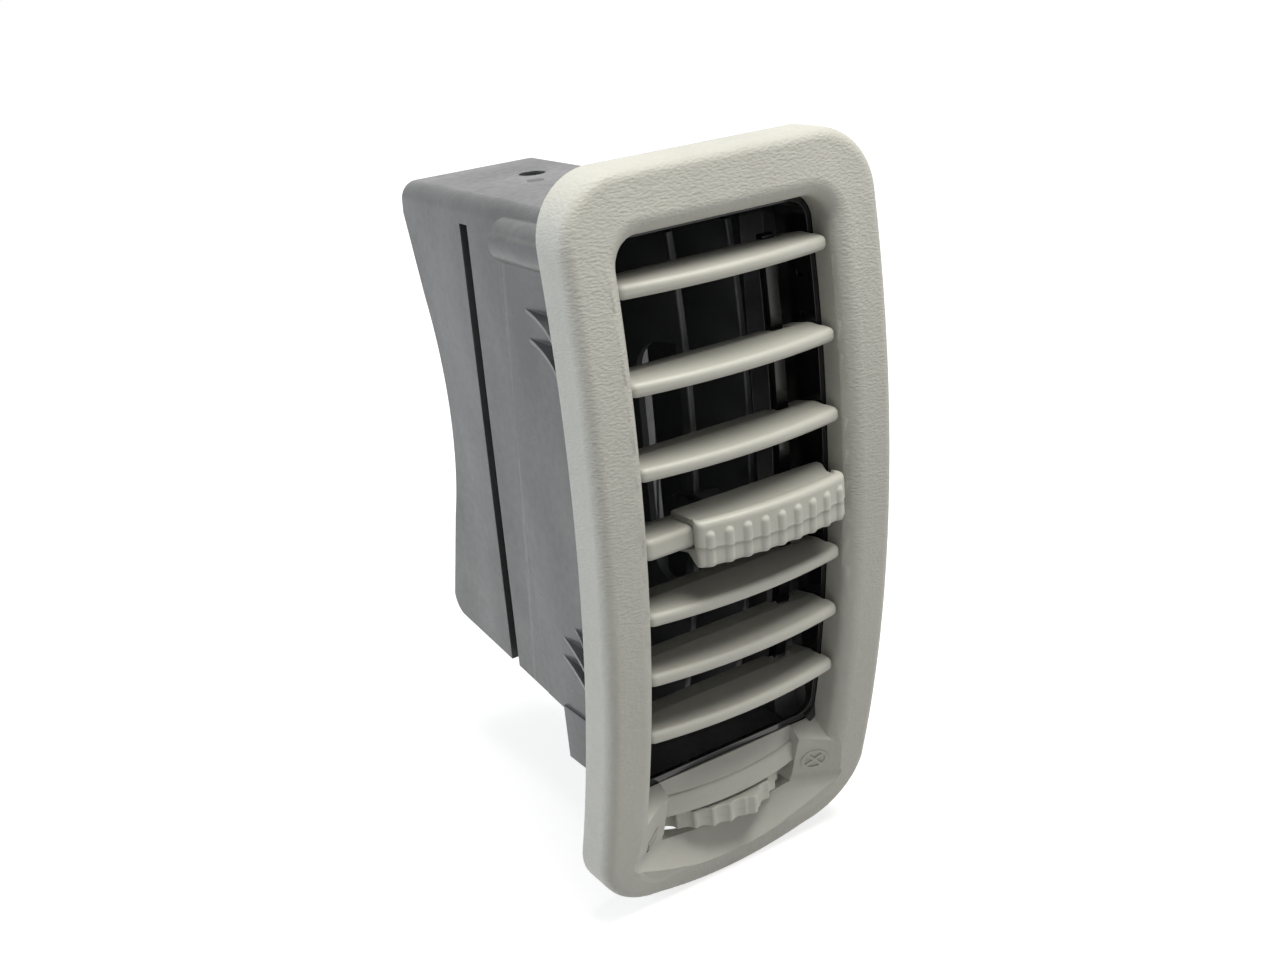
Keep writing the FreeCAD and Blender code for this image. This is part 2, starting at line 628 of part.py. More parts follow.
def make_bezel():
    """Bowed bezel with its opening, hood, slot, dished face, signs and screw bosses."""
    body = new_body("bezel")
    pad(body, "bezel_block", "XZ", [bezel_outline("0")], "stock", offset="0 - bezel_half")
    pocket(body, "bezel_crown", "YZ", [ahead_of("0 - bezel_front")])
    pocket(body, "bezel_rear", "YZ", [ahead_of("bezel_back", reach="stock + bezel_half")])
    mouth = rounded("0 - mouth_half", "0 - mouth_low", "mouth_half", "mouth_top", "mouth_corner")
    pocket(body, "bezel_mouth", "XZ", [mouth])
    fillet(body, "bezel_outer_round", "bezel_round",
           lambda edge: on_bow(edge, -value("bezel_front")) and outer_edge(edge))
    fillet(body, "bezel_inner_round", "mouth_round",
           lambda edge: on_bow(edge, -value("bezel_front")) and not outer_edge(edge))

    hollow = new_body("bezel_hollow")
    collar = rounded("0 - mouth_half - collar", "0 - mouth_low - mouth_round", "mouth_half + collar",
                     "mouth_top + collar", "mouth_corner + collar")
    pad(hollow, "hollow_block", "XZ", [bezel_outline("bezel_wall"), collar], "stock", offset="0 - bezel_half")
    pocket(hollow, "hollow_front", "YZ", [ahead_of("bezel_wall - bezel_front")])
    rear = new_body("bezel_rear_room")
    pad(rear, "rear_block", "XZ", [bezel_outline("bezel_wall")], "stock", offset="0 - bezel_half")
    pocket(rear, "rear_front", "YZ", [ahead_of("flank_back")])
    join(body, "bezel_rooms", [hollow, rear], "Cut")

    wall = "bezel_wall + 1.2"
    panel = [
        (bow("0 - roof_foot", "0.2 - bezel_front"), "0 - roof_foot"),
        (bow("0.8 - dish_low", "0.2 - bezel_front"), "0.8 - dish_low"),
        (bow("0 - dish_low", "0"), "0 - dish_low"),
        (bow("0 - mouth_low", "4.6"), "0 - mouth_low"),
        (bow("1.2 - slot_low", f"{wall} + 6"), "1.2 - slot_low"),
        (bow("0 - roof_head - 2.8", f"{wall} + 5"), "0 - roof_head - 2.8"),
        (bow("0 - roof_head - 2.8", "flank_back"), "0 - roof_head - 2.8"),
        (bow("0 - roof_head", "flank_back"), "0 - roof_head"),
    ]
    pad(body, "bezel_panel", "YZ", [panel], "2 * mouth_half + mouth_round", both=True)
    slot = [
        ("0 - slot_half", "0 - slot_low", "(slot_half^2 + slot_sag^2) / (2 * slot_sag)"),
        ("slot_half", "0 - slot_low"),
        ("slot_half", "0 - frame_low"),
        ("0 - slot_half", "0 - frame_low"),
    ]
    pocket(body, "bezel_slot", "XZ", [slot])
    revolve(body, "bezel_dish", "YZ", [dish_profile("0")], shift="0 - dish_axis", cut=True)
    hood = [
        ("0 - hood_radius", "0 - hood_low"),
        ("hood_wall - hood_radius", "0 - hood_low"),
        ("hood_wall - hood_radius", "0 - hood_top - hood_round / 2"),
        ("2 * hood_wall - hood_radius", "0 - hood_top"),
        ("hood_round - hood_radius", "0 - hood_top", "hood_round"),
        ("0 - hood_radius", "0 - hood_top - hood_round"),
    ]
    revolve(body, "bezel_hood", "YZ", [hood], angle="2 * asin((slot_half + 1) / hood_radius)",
            shift="hood_front + hood_radius")
    join(body, "bezel_roof", [make_hood_roof(), make_pictograms()], "Fuse")
    trim = rectangle("frame_back - seam", "0 - roof_head - 2.8", "stock", "0 - frame_low")
    pocket(body, "bezel_trim", "YZ", [trim], "2 * (mouth_half + collar)", both=True)
    for number, (side, height) in enumerate(SCREWS):
        boss = ("circle", side, height, "boss_radius")
        reach = f"frame_back - flange_wall - {bow(height, '0.5 + bezel_wall - bezel_front - 0.8')}"
        pad(body, f"bezel_boss_{number}", "XZ", [boss], reach, offset="flange_wall - frame_back")
    holes = [("circle", side, height, "screw_core + run_gap") for side, height in SCREWS]
    pocket(body, "bezel_boss_holes", "XZ", holes, "9", offset="flange_wall - frame_back", back=True)
    return body


def make_slat(number):
    """One slat with its end pins and link peg; the slat with the knob is thicker and cut for the fork."""
    height = SLATS[number - 1]
    key = height == KEY
    extra = "key_extra" if key else "0"
    front = "0" if key else "0 - slat_sag"
    body = new_body(f"slat_{number}", ("0", bow(height), height))
    nose = ("0 - slat_half", "0")
    if not key:
        nose = ("0 - slat_half", "0", "(slat_half^2 + slat_sag^2) / (2 * slat_sag)")
    right = [
        ("slat_half", "0"),
        ("slat_half", "slat_straight"),
        ("slat_shoulder", "slat_step"),
        ("slat_shoulder", "slat_depth"),
        ("link_middle + link_width / 2 + link_room", "slat_depth"),
        ("link_middle + link_width / 2 + link_room", "notch_front"),
        ("link_middle - link_width / 2 - link_room", "notch_front"),
        ("link_middle - link_width / 2 - link_room", "slat_depth"),
    ]
    cut = [
        ("fork_room - vane_gap / 2", "slat_depth"),
        ("fork_room - vane_gap / 2", "key_depth"),
        ("0 - fork_room - vane_gap / 2", "key_depth"),
        ("0 - fork_room - vane_gap / 2", "slat_depth"),
    ]
    left = [
        ("0 - slat_shoulder", "slat_depth"),
        ("0 - slat_shoulder", "slat_step"),
        ("0 - slat_half", "slat_straight"),
    ]
    plan = [nose] + right + (cut if key else []) + left
    pad(body, "plan", "XY", [plan], "16", both=True)
    fillet(body, "ends", "slat_corner",
           lambda edge: edge.BoundBox.ZLength > value("slat_thick + key_extra") and edge.BoundBox.YMax < 0.1)
    above = [
        (f"{front} - 4", f"(slat_nose + {extra}) / 2"),
        (front, f"(slat_nose + {extra}) / 2"),
        ("slat_pivot", f"(slat_thick + {extra}) / 2"),
        ("slat_depth", "slat_tail / 2"),
        ("slat_depth + 4", "slat_tail / 2"),
        ("slat_depth + 4", "10"),
        (f"{front} - 4", "10"),
    ]
    below = [(u, f"0 - ({v})") for u, v in above]
    pocket(body, "faces", "YZ", [above, below])
    fillet(body, "nose", "nose_round",
           lambda edge: edge.BoundBox.YMax < value("slat_straight") + 0.1 and edge.BoundBox.ZLength < 1)
    pad(body, "pins", "YZ", [("circle", "slat_pivot", "0", "slat_pin")],
        "2 * (frame_half + frame_wall - 0.3)", both=True)
    pad(body, "link_peg", "YZ", [("circle", "link_reach", "0", "link_pin")],
        "link_width + 2 * link_room + 0.6", offset="link_middle - link_width / 2 - link_room - 0.3")
    return body


def make_slat_link():
    """Upright bar that joins the slats' rear pegs."""
    body = new_body("slat_link")
    inner = "link_reach - link_thick / 2"
    outer = "link_reach + link_thick / 2"
    top = "slat_height_1 + 2.4"
    low = "slat_height_7 - 2.4"
    pad(body, "link_bar", "YZ", [bow_shell(inner, outer, top, low)], "link_width",
        offset="link_middle - link_width / 2")
    holes = [("circle", f"{bow(height)} + link_reach", height, "link_pin + run_gap") for height in SLATS]
    pocket(body, "link_holes", "YZ", holes)
    fillet(body, "link_ends", "1", lambda edge: abs(edge.BoundBox.XLength - value("link_width")) < 0.01
           and edge.Curve.TypeId == "Part::GeomLine")
    return body


def make_slat_frame():
    """Frame that carries the slats, with a flange for the duct's screws."""
    body = new_body("slat_frame")
    outer = rounded("0 - frame_half - frame_wall", "0 - frame_low - frame_wall", "frame_half + frame_wall",
                    "frame_top + frame_wall", "frame_corner + frame_wall")
    inner = rounded("0 - frame_half", "0 - frame_low", "frame_half", "frame_top", "frame_corner")
    flange = rounded("0 - flange_half", "0 - flange_low", "flange_half",
                     "frame_top + frame_wall + flange_over", "2")
    pad(body, "frame_tube", "XZ", [outer], "frame_back + 10", offset="0 - frame_back")
    pad(body, "frame_flange", "XZ", [flange], "flange_wall", offset="0 - frame_back")
    pocket(body, "frame_front", "YZ", [ahead_of("flank_back + seam")])
    pocket(body, "frame_mouth", "XZ", [inner])
    pivots = [("circle", f"{bow(height)} + slat_pivot", height, "slat_pin + run_gap") for height in SLATS]
    pocket(body, "frame_pivots", "YZ", pivots)
    pocket(body, "frame_screw_holes", "XZ",
           [("circle", side, height, "screw_core + 0.3") for side, height in SCREWS])
    slots = []
    for height in ("slat_height_1 - 9.3", "slat_height_2 + 3.7", "slat_height_5 - 9", "slat_height_6 - 9"):
        slots.append(rectangle(f"{bow(height)} + 10.6", f"{height} - 0.7", f"{bow(height)} + 12.6 + seam",
                               f"{height} + 0.7"))
    pocket(body, "frame_slots", "YZ", slots)
    return body


def floor_at(place):
    """Height of the duct floor's underside at a distance behind the origin."""
    return f"(0 - duct_floor_front + (({place}) - frame_back) * floor_rise)"


def make_housing():
    """Duct with its flange, gussets, groove, damper seat and the box over the wheel's crank."""
    body = new_body("duct_housing")
    side = [
        ("frame_back", "0 - duct_floor_front"),
        ("duct_floor_end", "0 - duct_floor_back", "6.4"),
        ("duct_back_low", "6.2 - duct_floor_back"),
        ("duct_back_mid", "0 - duct_kink", "0 - duct_back_bow"),
        ("duct_back_knee", "duct_knee"),
        ("duct_back_top + 1.2", "70"),
        ("duct_back_top", "duct_top"),
        ("frame_back", "duct_top"),
    ]
    pad(body, "duct", "YZ", [side], "2 * duct_half", both=True)
    fillet(body, "duct_top_round", "duct_round",
           lambda edge: edge.BoundBox.ZMin > value("duct_top") - 0.1
           and edge.BoundBox.YLength > value("throat_back"))
    proud = [
        ("frame_back", f"1 + {floor_at('frame_back')}"),
        ("panel_back + 2.4", f"1 + {floor_at('panel_back + 2.4')}"),
        ("panel_back + 2.4", "-11"),
        ("panel_back - 2.6", "duct_top - duct_round"),
        ("frame_back", "duct_top - duct_round"),
    ]
    pad(body, "proud_panel", "YZ", [proud], "2 * (duct_half + panel_proud)", both=True)
    groove = [
        ("groove_place", "71"),
        ("groove_place + groove_lean", "-80"),
        ("groove_place + groove_lean + groove_wide", "-80"),
        ("groove_place + groove_wide", "71"),
    ]
    pocket(body, "side_groove", "YZ", [groove])
    core = [
        ("core_front - 1", f"1 + {floor_at('core_front - 1')}"),
        ("core_back + 1", f"1 + {floor_at('core_back + 1')}"),
        ("core_back + 1", "72"),
        ("core_front - 1", "72"),
    ]
    pad(body, "groove_core", "YZ", [core], "2 * (duct_half - groove_deep)", both=True)
    flange = rounded("0 - flange_half", "0 - flange_low", "flange_half",
                     "frame_top + frame_wall + flange_over", "2")
    pad(body, "flange", "XZ", [flange], "flange_wall", offset="0 - frame_back - flange_wall")
    land = rectangle("flange_half - 0.4 - land_wide", "0 - land_half", "flange_half - 0.4", "land_half")
    pad(body, "seating_lands", "XZ", [land, mirrored(land)], "land_proud + 0.5",
        offset="0 - frame_back - flange_wall - land_proud")
    throat = rectangle("0 - frame_half - frame_wall", f"{floor_at('frame_back')} + 0.4",
                       "frame_half + frame_wall", "frame_top + frame_wall")
    pad(body, "throat", "XZ", [throat], "throat_back - frame_back", offset="0 - throat_back")
    clip = ("circle", "duct_half", "70", "clip_round")
    pad(body, "clip_boss", "XZ", [clip, mirrored(clip)], "clip_back - throat_back - 10",
        offset="0 - clip_back")
    for number, (height, tip) in enumerate(GUSSETS):
        gusset = [
            ("duct_half - 1", "frame_back"),
            ("flange_half - 0.4", "frame_back"),
            ("flange_half - 0.4", "25", "0 - 230"),
            ("duct_half", tip),
            ("duct_half - 1", tip),
        ]
        pad(body, f"gusset_{number}", "XY", [gusset, mirrored(gusset)], "gusset_wall", offset=f"{height} - 0.6")
    box = rectangle("0 - box_half", "box_front", "box_half", "box_back")
    pad(body, "wheel_box", "XY", [box], "box_low - box_top", offset="0 - box_low")
    bearing = ("circle", "0", "damper_axis", "damper_shaft + 2")
    pad(body, "damper_bearing", "XY", [bearing], "12", offset="-80.2")

    narrow = [
        ("0", f"duct_wall + {floor_at('0')}"),
        ("160", f"duct_wall + {floor_at('160')}"),
        ("160", "duct_top - duct_wall"),
        ("0", "duct_top - duct_wall"),
    ]
    pocket(body, "passage", "YZ", [narrow], "2 * (duct_half - groove_deep - duct_wall)", both=True)
    rooms = []
    for start, end in (("0", "core_front"), ("core_back", "160")):
        rooms.append([
            (start, f"duct_wall + {floor_at(start)}"),
            (end, f"duct_wall + {floor_at(end)}"),
            (end, "duct_top - duct_wall"),
            (start, "duct_top - duct_wall"),
        ])
    pocket(body, "wide_passage", "YZ", rooms, "2 * (duct_half - duct_wall)", both=True)
    throat_room = rectangle("0", "0 - frame_low - 0.6", "throat_back - throat_wall", "frame_top")
    pocket(body, "throat_room", "YZ", [throat_room], "2 * frame_half", both=True)
    box_room = [
        ("box_front + duct_wall", "duct_wall - box_low"),
        ("box_back - duct_wall", "duct_wall - box_low"),
        ("box_back - duct_wall", floor_at("box_back - duct_wall")),
        ("box_front + duct_wall", floor_at("box_front + duct_wall")),
    ]
    pocket(body, "box_room", "YZ", [box_room], "2 * (box_half - duct_wall)", both=True)
    top_holes = [
        ("circle", "top_hole_side", "top_hole_back", "top_hole"),
        ("circle", "0", "damper_axis", "damper_shaft + run_gap"),
        ("circle", "vane_gap / 2", "vane_axis", "vane_pin + run_gap"),
        ("circle", "0 - vane_gap / 2", "vane_axis", "vane_pin + run_gap"),
    ]
    pocket(body, "top_holes", "XY", top_holes, "6", offset="duct_top + 1")
    floor_holes = top_holes[1:]
    pocket(body, "floor_holes", "XY", floor_holes, "15", offset="-66.5")
    spindle_hole = ("circle", "0", "wheel_axis", "spindle + run_gap")
    pocket(body, "spindle_hole", "XY", [spindle_hole], "4", offset="duct_wall + 0.5 - box_low")
    rod_slot = rectangle("2.4", "-83.6", "11.6", "-80.4")
    pocket(body, "rod_slot", "XZ", [rod_slot], "6", offset="2 - box_back", back=False)
    pocket(body, "flange_holes", "XZ", [("circle", side, height, "screw_core + 0.3") for side, height in SCREWS],
           "4", offset="1 - frame_back")
    return body


def vane_front(height):
    """Front edge of a vane at a height, in the vane's own frame."""
    return f"(0 - (vane_axis - {bow(height, 'vane_back')}) / cos(vane_swing))"


POST_REACH = f"(0 - {vane_front(KEY)} - post_width / 2)"
FORK_SIDE = f"({POST_REACH} * sin(vane_swing) - vane_gap / 2)"
KNOB_SIDE = f"({FORK_SIDE} + vane_gap / 2)"
KNOB_SEAT = "(slat_thick + key_extra) / 2"
PAD_PLAN = rectangle("0 - pad_wide / 2", "1", "pad_wide / 2", "6")


def make_vane(label, side, driven):
    """Upright vane; the driven one has a window, whose front post the fork grips."""
    body = new_body(label, (side, "vane_axis", "0"), turn="vane_swing")
    bend = "(bow_radius - vane_back) * cos(vane_swing)"
    plate = [
        (vane_front("0 - vane_low"), "0 - vane_low"),
        ("vane_tail", "0 - vane_low"),
        ("vane_tail", "vane_top"),
        (vane_front("vane_top"), "vane_top", bend),
    ]
    pad(body, "vane_plate", "YZ", [plate], "vane_thick", both=True)
    if driven:
        rear = f"{vane_front('window_top')} + window_depth"
        window = [
            (f"{vane_front('0 - window_low')} + post_width", "0 - window_low"),
            (f"{rear} - window_round", "0 - window_low", "window_round"),
            (rear, "window_round - window_low"),
            (rear, "window_top - window_round", "window_round"),
            (f"{rear} - window_round", "window_top"),
            (f"{vane_front('window_top')} + post_width", "window_top", bend),
        ]
        pocket(body, "vane_window", "YZ", [window])
    fillet(body, "vane_edges", "0.5", lambda edge: edge.BoundBox.ZLength > value("vane_top"))
    pad(body, "vane_pins", "XY", [("circle", "0", "0", "vane_pin")],
        "vane_top + vane_low + 9.6", offset="0 - vane_low - 4.4")
    pad(body, "vane_peg", "XY", [("circle", "0", "vane_crank", "link_pin")], "3", offset="vane_top - 0.4")
    return body


def capsule(first, last, half, along="u"):
    """Bar with round ends between two places on a sketch axis."""
    points = [
        (first, f"0 - ({half})"),
        (last, f"0 - ({half})", half),
        (f"{last} + {half}", "0", half),
        (last, half),
        (first, half, half),
        (f"{first} - ({half})", "0", half),
    ]
    if along == "u":
        return points
    return [(f"0 - ({point[1]})", point[0], *point[2:]) for point in points]


def make_vane_link():
    """Bar that joins the two vanes above."""
    place = ("0 - vane_crank * sin(vane_swing)", "vane_axis + vane_crank * cos(vane_swing)", "vane_top + 0.4")
    body = new_body("vane_link", place)
    bar = capsule("0 - vane_gap / 2", "vane_gap / 2", "link_pin + 1.2")
    pad(body, "vane_bar", "XY", [bar], "1.6")
    hole = ("circle", "vane_gap / 2", "0", "link_pin + run_gap")
    pocket(body, "vane_bar_holes", "XY", [hole, mirrored(hole)])
    return body


def make_knob():
    """Ribbed slider with a hollow top, a slot for its slat and rooms for the fork and the pad."""
    body = new_body("knob", (KNOB_SIDE, bow(KEY), KEY))
    plan_radius = "((knob_half^2 + knob_sag^2) / (2 * knob_sag))"
    plan = [
        ("0 - knob_half", "0 - knob_front", plan_radius),
        ("knob_half", "0 - knob_front", "0 - knob_side_round"),
        ("knob_waist", "knob_waist_back", "knob_side_round"),
        ("knob_half - knob_tail_nip", "knob_back"),
        ("knob_tail_nip - knob_half", "knob_back", "knob_side_round"),
        ("0 - knob_waist", "knob_waist_back", "0 - knob_side_round"),
    ]
    pad(body, "knob_block", "XY", [plan], "knob_down + knob_up", offset="0 - knob_down")
    above = [
        ("0 - stock", "knob_lip"),
        ("0 - knob_front - knob_sag + 1.6", "knob_lip"),
        ("0.8 - knob_front", "knob_lip", "knob_hollow"),
        ("1.2", "knob_lip - knob_dip"),
        ("knob_back - 2.5", "knob_up"),
        ("knob_back - 2.5", "2 * knob_up"),
        ("0 - stock", "2 * knob_up"),
    ]
    chin = "knob_chin - knob_front"
    under = f"{KNOB_SEAT} + pad_thick + pad_cover"
    below = [
        (chin, "0 - 2 * knob_down"),
        (chin, "0 - knob_down"),
        (f"{chin} + 1.6", f"0 - ({under})"),
        ("stock", f"0 - ({under})"),
        ("stock", "0 - 2 * knob_down"),
    ]
    pocket(body, "knob_faces", "YZ", [above, below])
    fillet(body, "knob_corners", "knob_round", lambda edge: edge.BoundBox.ZLength > value("knob_down")
           and edge.BoundBox.YMax < value("0.1 - knob_front"))
    ribs = []
    rib_top = "(knob_lip - knob_rib - rib_drop)"
    for step in range(int(value("knob_ribs"))):
        across = f"(({step} - (knob_ribs - 1) / 2) * knob_pitch)"
        face = f"(sqrt({plan_radius}^2 - {across}^2) - {plan_radius} + knob_front + knob_sag)"
        ribs.append((across, f"rib_back - {face}"))
    rounds = [("circle", *rib, "knob_rib") for rib in ribs]
    pad(body, "knob_ribs_pad", "XY", rounds, f"knob_down + {rib_top} - rib_foot", offset="rib_foot - knob_down")
    for step, rib in enumerate(ribs):
        ball(body, f"knob_rib_dome_{step}", (*rib, rib_top), "knob_rib")
    nose = "(slat_nose + key_extra) / 2 + slide_gap"
    pivot = f"{KNOB_SEAT} + slide_gap"
    room = [
        ("0 - slide_gap", f"0 - ({nose})"),
        ("slat_pivot", f"0 - ({pivot})"),
        ("stock", f"0 - ({pivot})"),
        ("stock", pivot),
        ("slat_pivot", pivot),
        ("0 - slide_gap", nose),
    ]
    pocket(body, "knob_slot", "YZ", [room])
    fork = "0 - vane_gap / 2"
    socket = rectangle(f"{fork} - fork_gap / 2 - fork_wall", f"0 - ({pivot}) - fork_arm",
                       f"{fork} + fork_gap / 2 + fork_wall", f"{pivot} + fork_arm")
    pocket(body, "fork_socket_room", "XZ", [socket], "fork_socket", offset="0 - knob_back", back=True)
    pocket(body, "pad_socket", "XY", [PAD_PLAN], "pad_thick + 0.6", offset=f"0.6 - {KNOB_SEAT}")
    return body


def make_knob_fork():
    """Fork behind the knob: two arms round the slat and two tines round the driven vane's post."""
    body = new_body("knob_fork", (FORK_SIDE, bow(KEY), KEY))
    inner = f"({KNOB_SEAT} + slide_gap)"
    outer = f"({inner} + fork_arm)"
    front = "knob_back - fork_socket"
    web = "key_depth + 0.5"
    back = f"{web} + 1.5"
    side = [
        (front, f"0 - {outer}"),
        (back, f"0 - {outer}"),
        (back, "0 - fork_tall / 2"),
        ("fork_reach", "0 - fork_tall / 2"),
        ("fork_reach", "fork_tall / 2"),
        (back, "fork_tall / 2"),
        (back, outer),
        (front, outer),
        (front, inner),
        (web, inner),
        (web, f"0 - {inner}"),
        (front, f"0 - {inner}"),
    ]
    pad(body, "fork_side", "YZ", [side], "fork_gap + 2 * fork_wall", both=True)
    gap = rectangle("0 - fork_gap / 2", back, "fork_gap / 2", "fork_reach + 1")
    pocket(body, "fork_mouth", "XY", [gap])
    return body


def make_knob_pad():
    """Friction pad between the knob and the underside of its slat."""
    body = new_body("knob_pad", (KNOB_SIDE, bow(KEY), KEY))
    pad(body, "pad_block", "XY", [PAD_PLAN], "pad_thick", offset=f"0 - pad_thick - {KNOB_SEAT}")
    return body


def make_wheel():
    """Scalloped thumbwheel with a pointer, a hollow underside and a seat for the spindle."""
    body = new_body("thumbwheel", ("0", "wheel_axis", "0 - wheel_high - wheel_thick"), turn="wheel_turn")
    pad(body, "wheel_disc", "XY", [("circle", "0", "0", "wheel_radius")], "wheel_thick")
    nub = [
        ("0 - pointer_half", "pointer_foot - wheel_radius"),
        ("0 - pointer_tip", "0 - wheel_radius - pointer_reach"),
        ("pointer_tip", "0 - wheel_radius - pointer_reach"),
        ("pointer_half", "pointer_foot - wheel_radius"),
        ("pointer_half", "3 - wheel_radius"),
        ("0 - pointer_half", "3 - wheel_radius"),
    ]
    pad(body, "wheel_pointer", "XY", [nub], "wheel_thick")
    scallops = []
    reach = "(wheel_radius + scallop_radius - scallop_deep)"
    for step in (-5, -4, -3, -2, -1, 1):
        turn = f"({step} * scallop_pitch)"
        scallops.append(("circle", f"{reach} * sin({turn})", f"0 - {reach} * cos({turn})", "scallop_radius"))
    pocket(body, "wheel_scallops", "XY", scallops)
    ring = [("circle", "0", "0", "wheel_radius - wheel_rim"), ("circle", "0", "0", "spindle + wheel_hub")]
    pocket(body, "wheel_ring", "XY", ring, "wheel_thick - wheel_web", back=True)
    pocket(body, "wheel_socket", "XY", [("circle", "0", "0", "spindle + run_gap / 2")], "wheel_seat",
           offset="wheel_thick")
    pocket(body, "wheel_bore", "XY", [("circle", "0", "0", "screw_core + run_gap")])
    return body


def make_crank(label, axis, below):
    """Crank lever with its pin; the wheel's crank has a spindle, the damper's a bore."""
    body = new_body(label, ("0", axis, "0 - crank_level"), turn="wheel_turn")
    arm = capsule("0", "crank_reach", "crank_round")
    pad(body, "crank_arm", "XY", [arm], "crank_thick")
    pad(body, "crank_peg", "XY", [("circle", "crank_reach", "0", "crank_pin")],
        "crank_thick + rod_thick + 0.6")
    if below:
        pad(body, "crank_spindle", "XY", [("circle", "0", "0", "spindle")],
            "wheel_high + wheel_seat - crank_level", back=True)
        pocket(body, "crank_thread", "XY", [("circle", "0", "0", "screw_core + run_gap")],
               "6", offset="0 - wheel_high - wheel_seat + crank_level", back=True)
    else:
        pocket(body, "crank_bore", "XY", [("circle", "0", "0", "damper_shaft + run_gap / 2")])
    return body


def make_axle_screw(label, axis, level, head, turn):
    """Pan-head screw driven upwards, its head's seat at a level."""
    body = new_body(label, ("0", axis, level), turn=turn)
    pad(body, "shank", "XY", [("circle", "0", "0", "screw_core")], "axle_long")
    pad(body, "head", "XY", [("circle", "0", "0", head)], "axle_cap", back=True)
    chamfer(body, "head_edge", "0.4", lambda edge: edge.BoundBox.ZMax < value("0.1 - axle_cap"))
    for name, wide, tall in (("recess", "cross_half", "cross_side"), ("recess_cross", "cross_side", "cross_half")):
        bar = rectangle(f"0 - {wide}", f"0 - {tall}", wide, tall)
        pocket(body, name, "XY", [bar], "cross_deep", offset="0 - axle_cap", back=True)
    return body


def make_damper_flap():
    """Shut-off flap with its shaft, threaded below for the crank's screw."""
    body = new_body("damper_flap", ("0", "damper_axis", "0"), turn="0 - damper_turn")
    plate = rectangle("0 - damper_half", "0 - damper_low", "damper_half", "damper_top")
    pad(body, "flap_plate", "XZ", [plate], "damper_thick", both=True)
    pad(body, "flap_shaft", "XY", [("circle", "0", "0", "damper_shaft")], "crank_level + duct_top",
        offset="0 - crank_level")
    pocket(body, "flap_thread", "XY", [("circle", "0", "0", "screw_core + run_gap")], "8",
           offset="0 - crank_level", back=True)
    return body


def make_damper_seal():
    """Soft seal round the flap's edges, open where the shaft passes."""
    body = new_body("damper_seal", ("0", "damper_axis", "0"), turn="0 - damper_turn")
    outer = rectangle("0 - damper_half - seal_proud", "0 - damper_low - seal_proud",
                      "damper_half + seal_proud", "damper_top + seal_proud")
    inner = rectangle("seal_wide - damper_half", "seal_wide - damper_low",
                      "damper_half - seal_wide", "damper_top - seal_wide")
    pad(body, "seal_ring", "XZ", [outer, inner], "damper_thick + 2 * seal_proud", both=True)
    plate = rectangle("0 - damper_half", "0 - damper_low", "damper_half", "damper_top")
    pocket(body, "seal_groove", "XZ", [plate], "damper_thick", both=True)
    pocket(body, "seal_gap", "XZ", [rectangle("0 - damper_shaft - 0.2", "-90", "damper_shaft + 0.2", "90")])
    return body


def make_damper_link():
    """Rod that joins the wheel's crank to the damper's."""
    place = ("crank_reach * cos(wheel_turn)", "wheel_axis + crank_reach * sin(wheel_turn)",
             "0.2 + crank_thick - crank_level")
    body = new_body("damper_link", place)
    rod = capsule("0", "damper_axis - wheel_axis", "rod_wide / 2", along="v")
    pad(body, "rod_bar", "XY", [rod], "rod_thick")
    holes = [("circle", "0", end, "crank_pin + run_gap") for end in ("0", "damper_axis - wheel_axis")]
    pocket(body, "rod_holes", "XY", holes)
    return body


def make_frame_screws():
    """Four equal screws that pass both flanges into the bezel's bosses."""
    screws = []
    for number, (side, height) in enumerate(SCREWS):
        pieces = []
        for part_name, radius, start, length in (
                ("shank", "screw_core", "frame_back + flange_wall", "2 * flange_wall + screw_bite"),
                ("head", "screw_head", "frame_back + flange_wall + screw_cap", "screw_cap")):
            piece = doc.addObject("Part::Cylinder", f"frame_screw_{part_name}_{number}")
            piece.Placement = FreeCAD.Placement(V(0, 0, 0), FreeCAD.Rotation(V(1, 0, 0), 90))
            bind(piece, "Placement.Base.x", side)
            bind(piece, "Placement.Base.y", start)
            bind(piece, "Placement.Base.z", height)
            bind(piece, "Radius", radius)
            bind(piece, "Height", length)
            pieces.append(piece)
        recess = doc.addObject("Part::Box", f"frame_screw_recess_{number}")
        bind(recess, "Length", "screw_head * 1.4")
        bind(recess, "Width", "1")
        bind(recess, "Height", "0.6")
        bind(recess, "Placement.Base.x", f"{side} - screw_head * 0.7")
        bind(recess, "Placement.Base.y", "frame_back + flange_wall + 0.9")
        bind(recess, "Placement.Base.z", f"{height} - 0.3")
        solid = doc.addObject("Part::MultiFuse", f"frame_screw_solid_{number}")
        solid.Shapes = pieces
        screw = doc.addObject("Part::Cut", f"frame_screw_{number}")
        screw.Base = solid
        screw.Tool = recess
        screws.append(screw)
    group = doc.addObject("Part::Compound", "frame_screws")
    group.Links = screws
    group.Label = "frame_screws"
    BODIES.append(group)
    return group


make_bezel()
make_slat_frame()
make_housing()
make_frame_screws()
for slat_number in range(1, 8):
    make_slat(slat_number)
make_slat_link()
make_knob()
make_knob_fork()
make_knob_pad()
make_vane("vane_left", "0 - vane_gap / 2", True)
make_vane("vane_right", "vane_gap / 2", False)
make_vane_link()
make_wheel()
make_crank("wheel_crank", "wheel_axis", True)
make_axle_screw("wheel_screw", "wheel_axis", "0 - wheel_high - wheel_thick", "screw_head", "wheel_turn")
make_damper_flap()
make_damper_seal()
make_crank("damper_crank", "damper_axis", False)
make_axle_screw("crank_screw", "damper_axis", "0 - crank_level", "screw_head + axle_over", "0 - damper_turn")
make_damper_link()

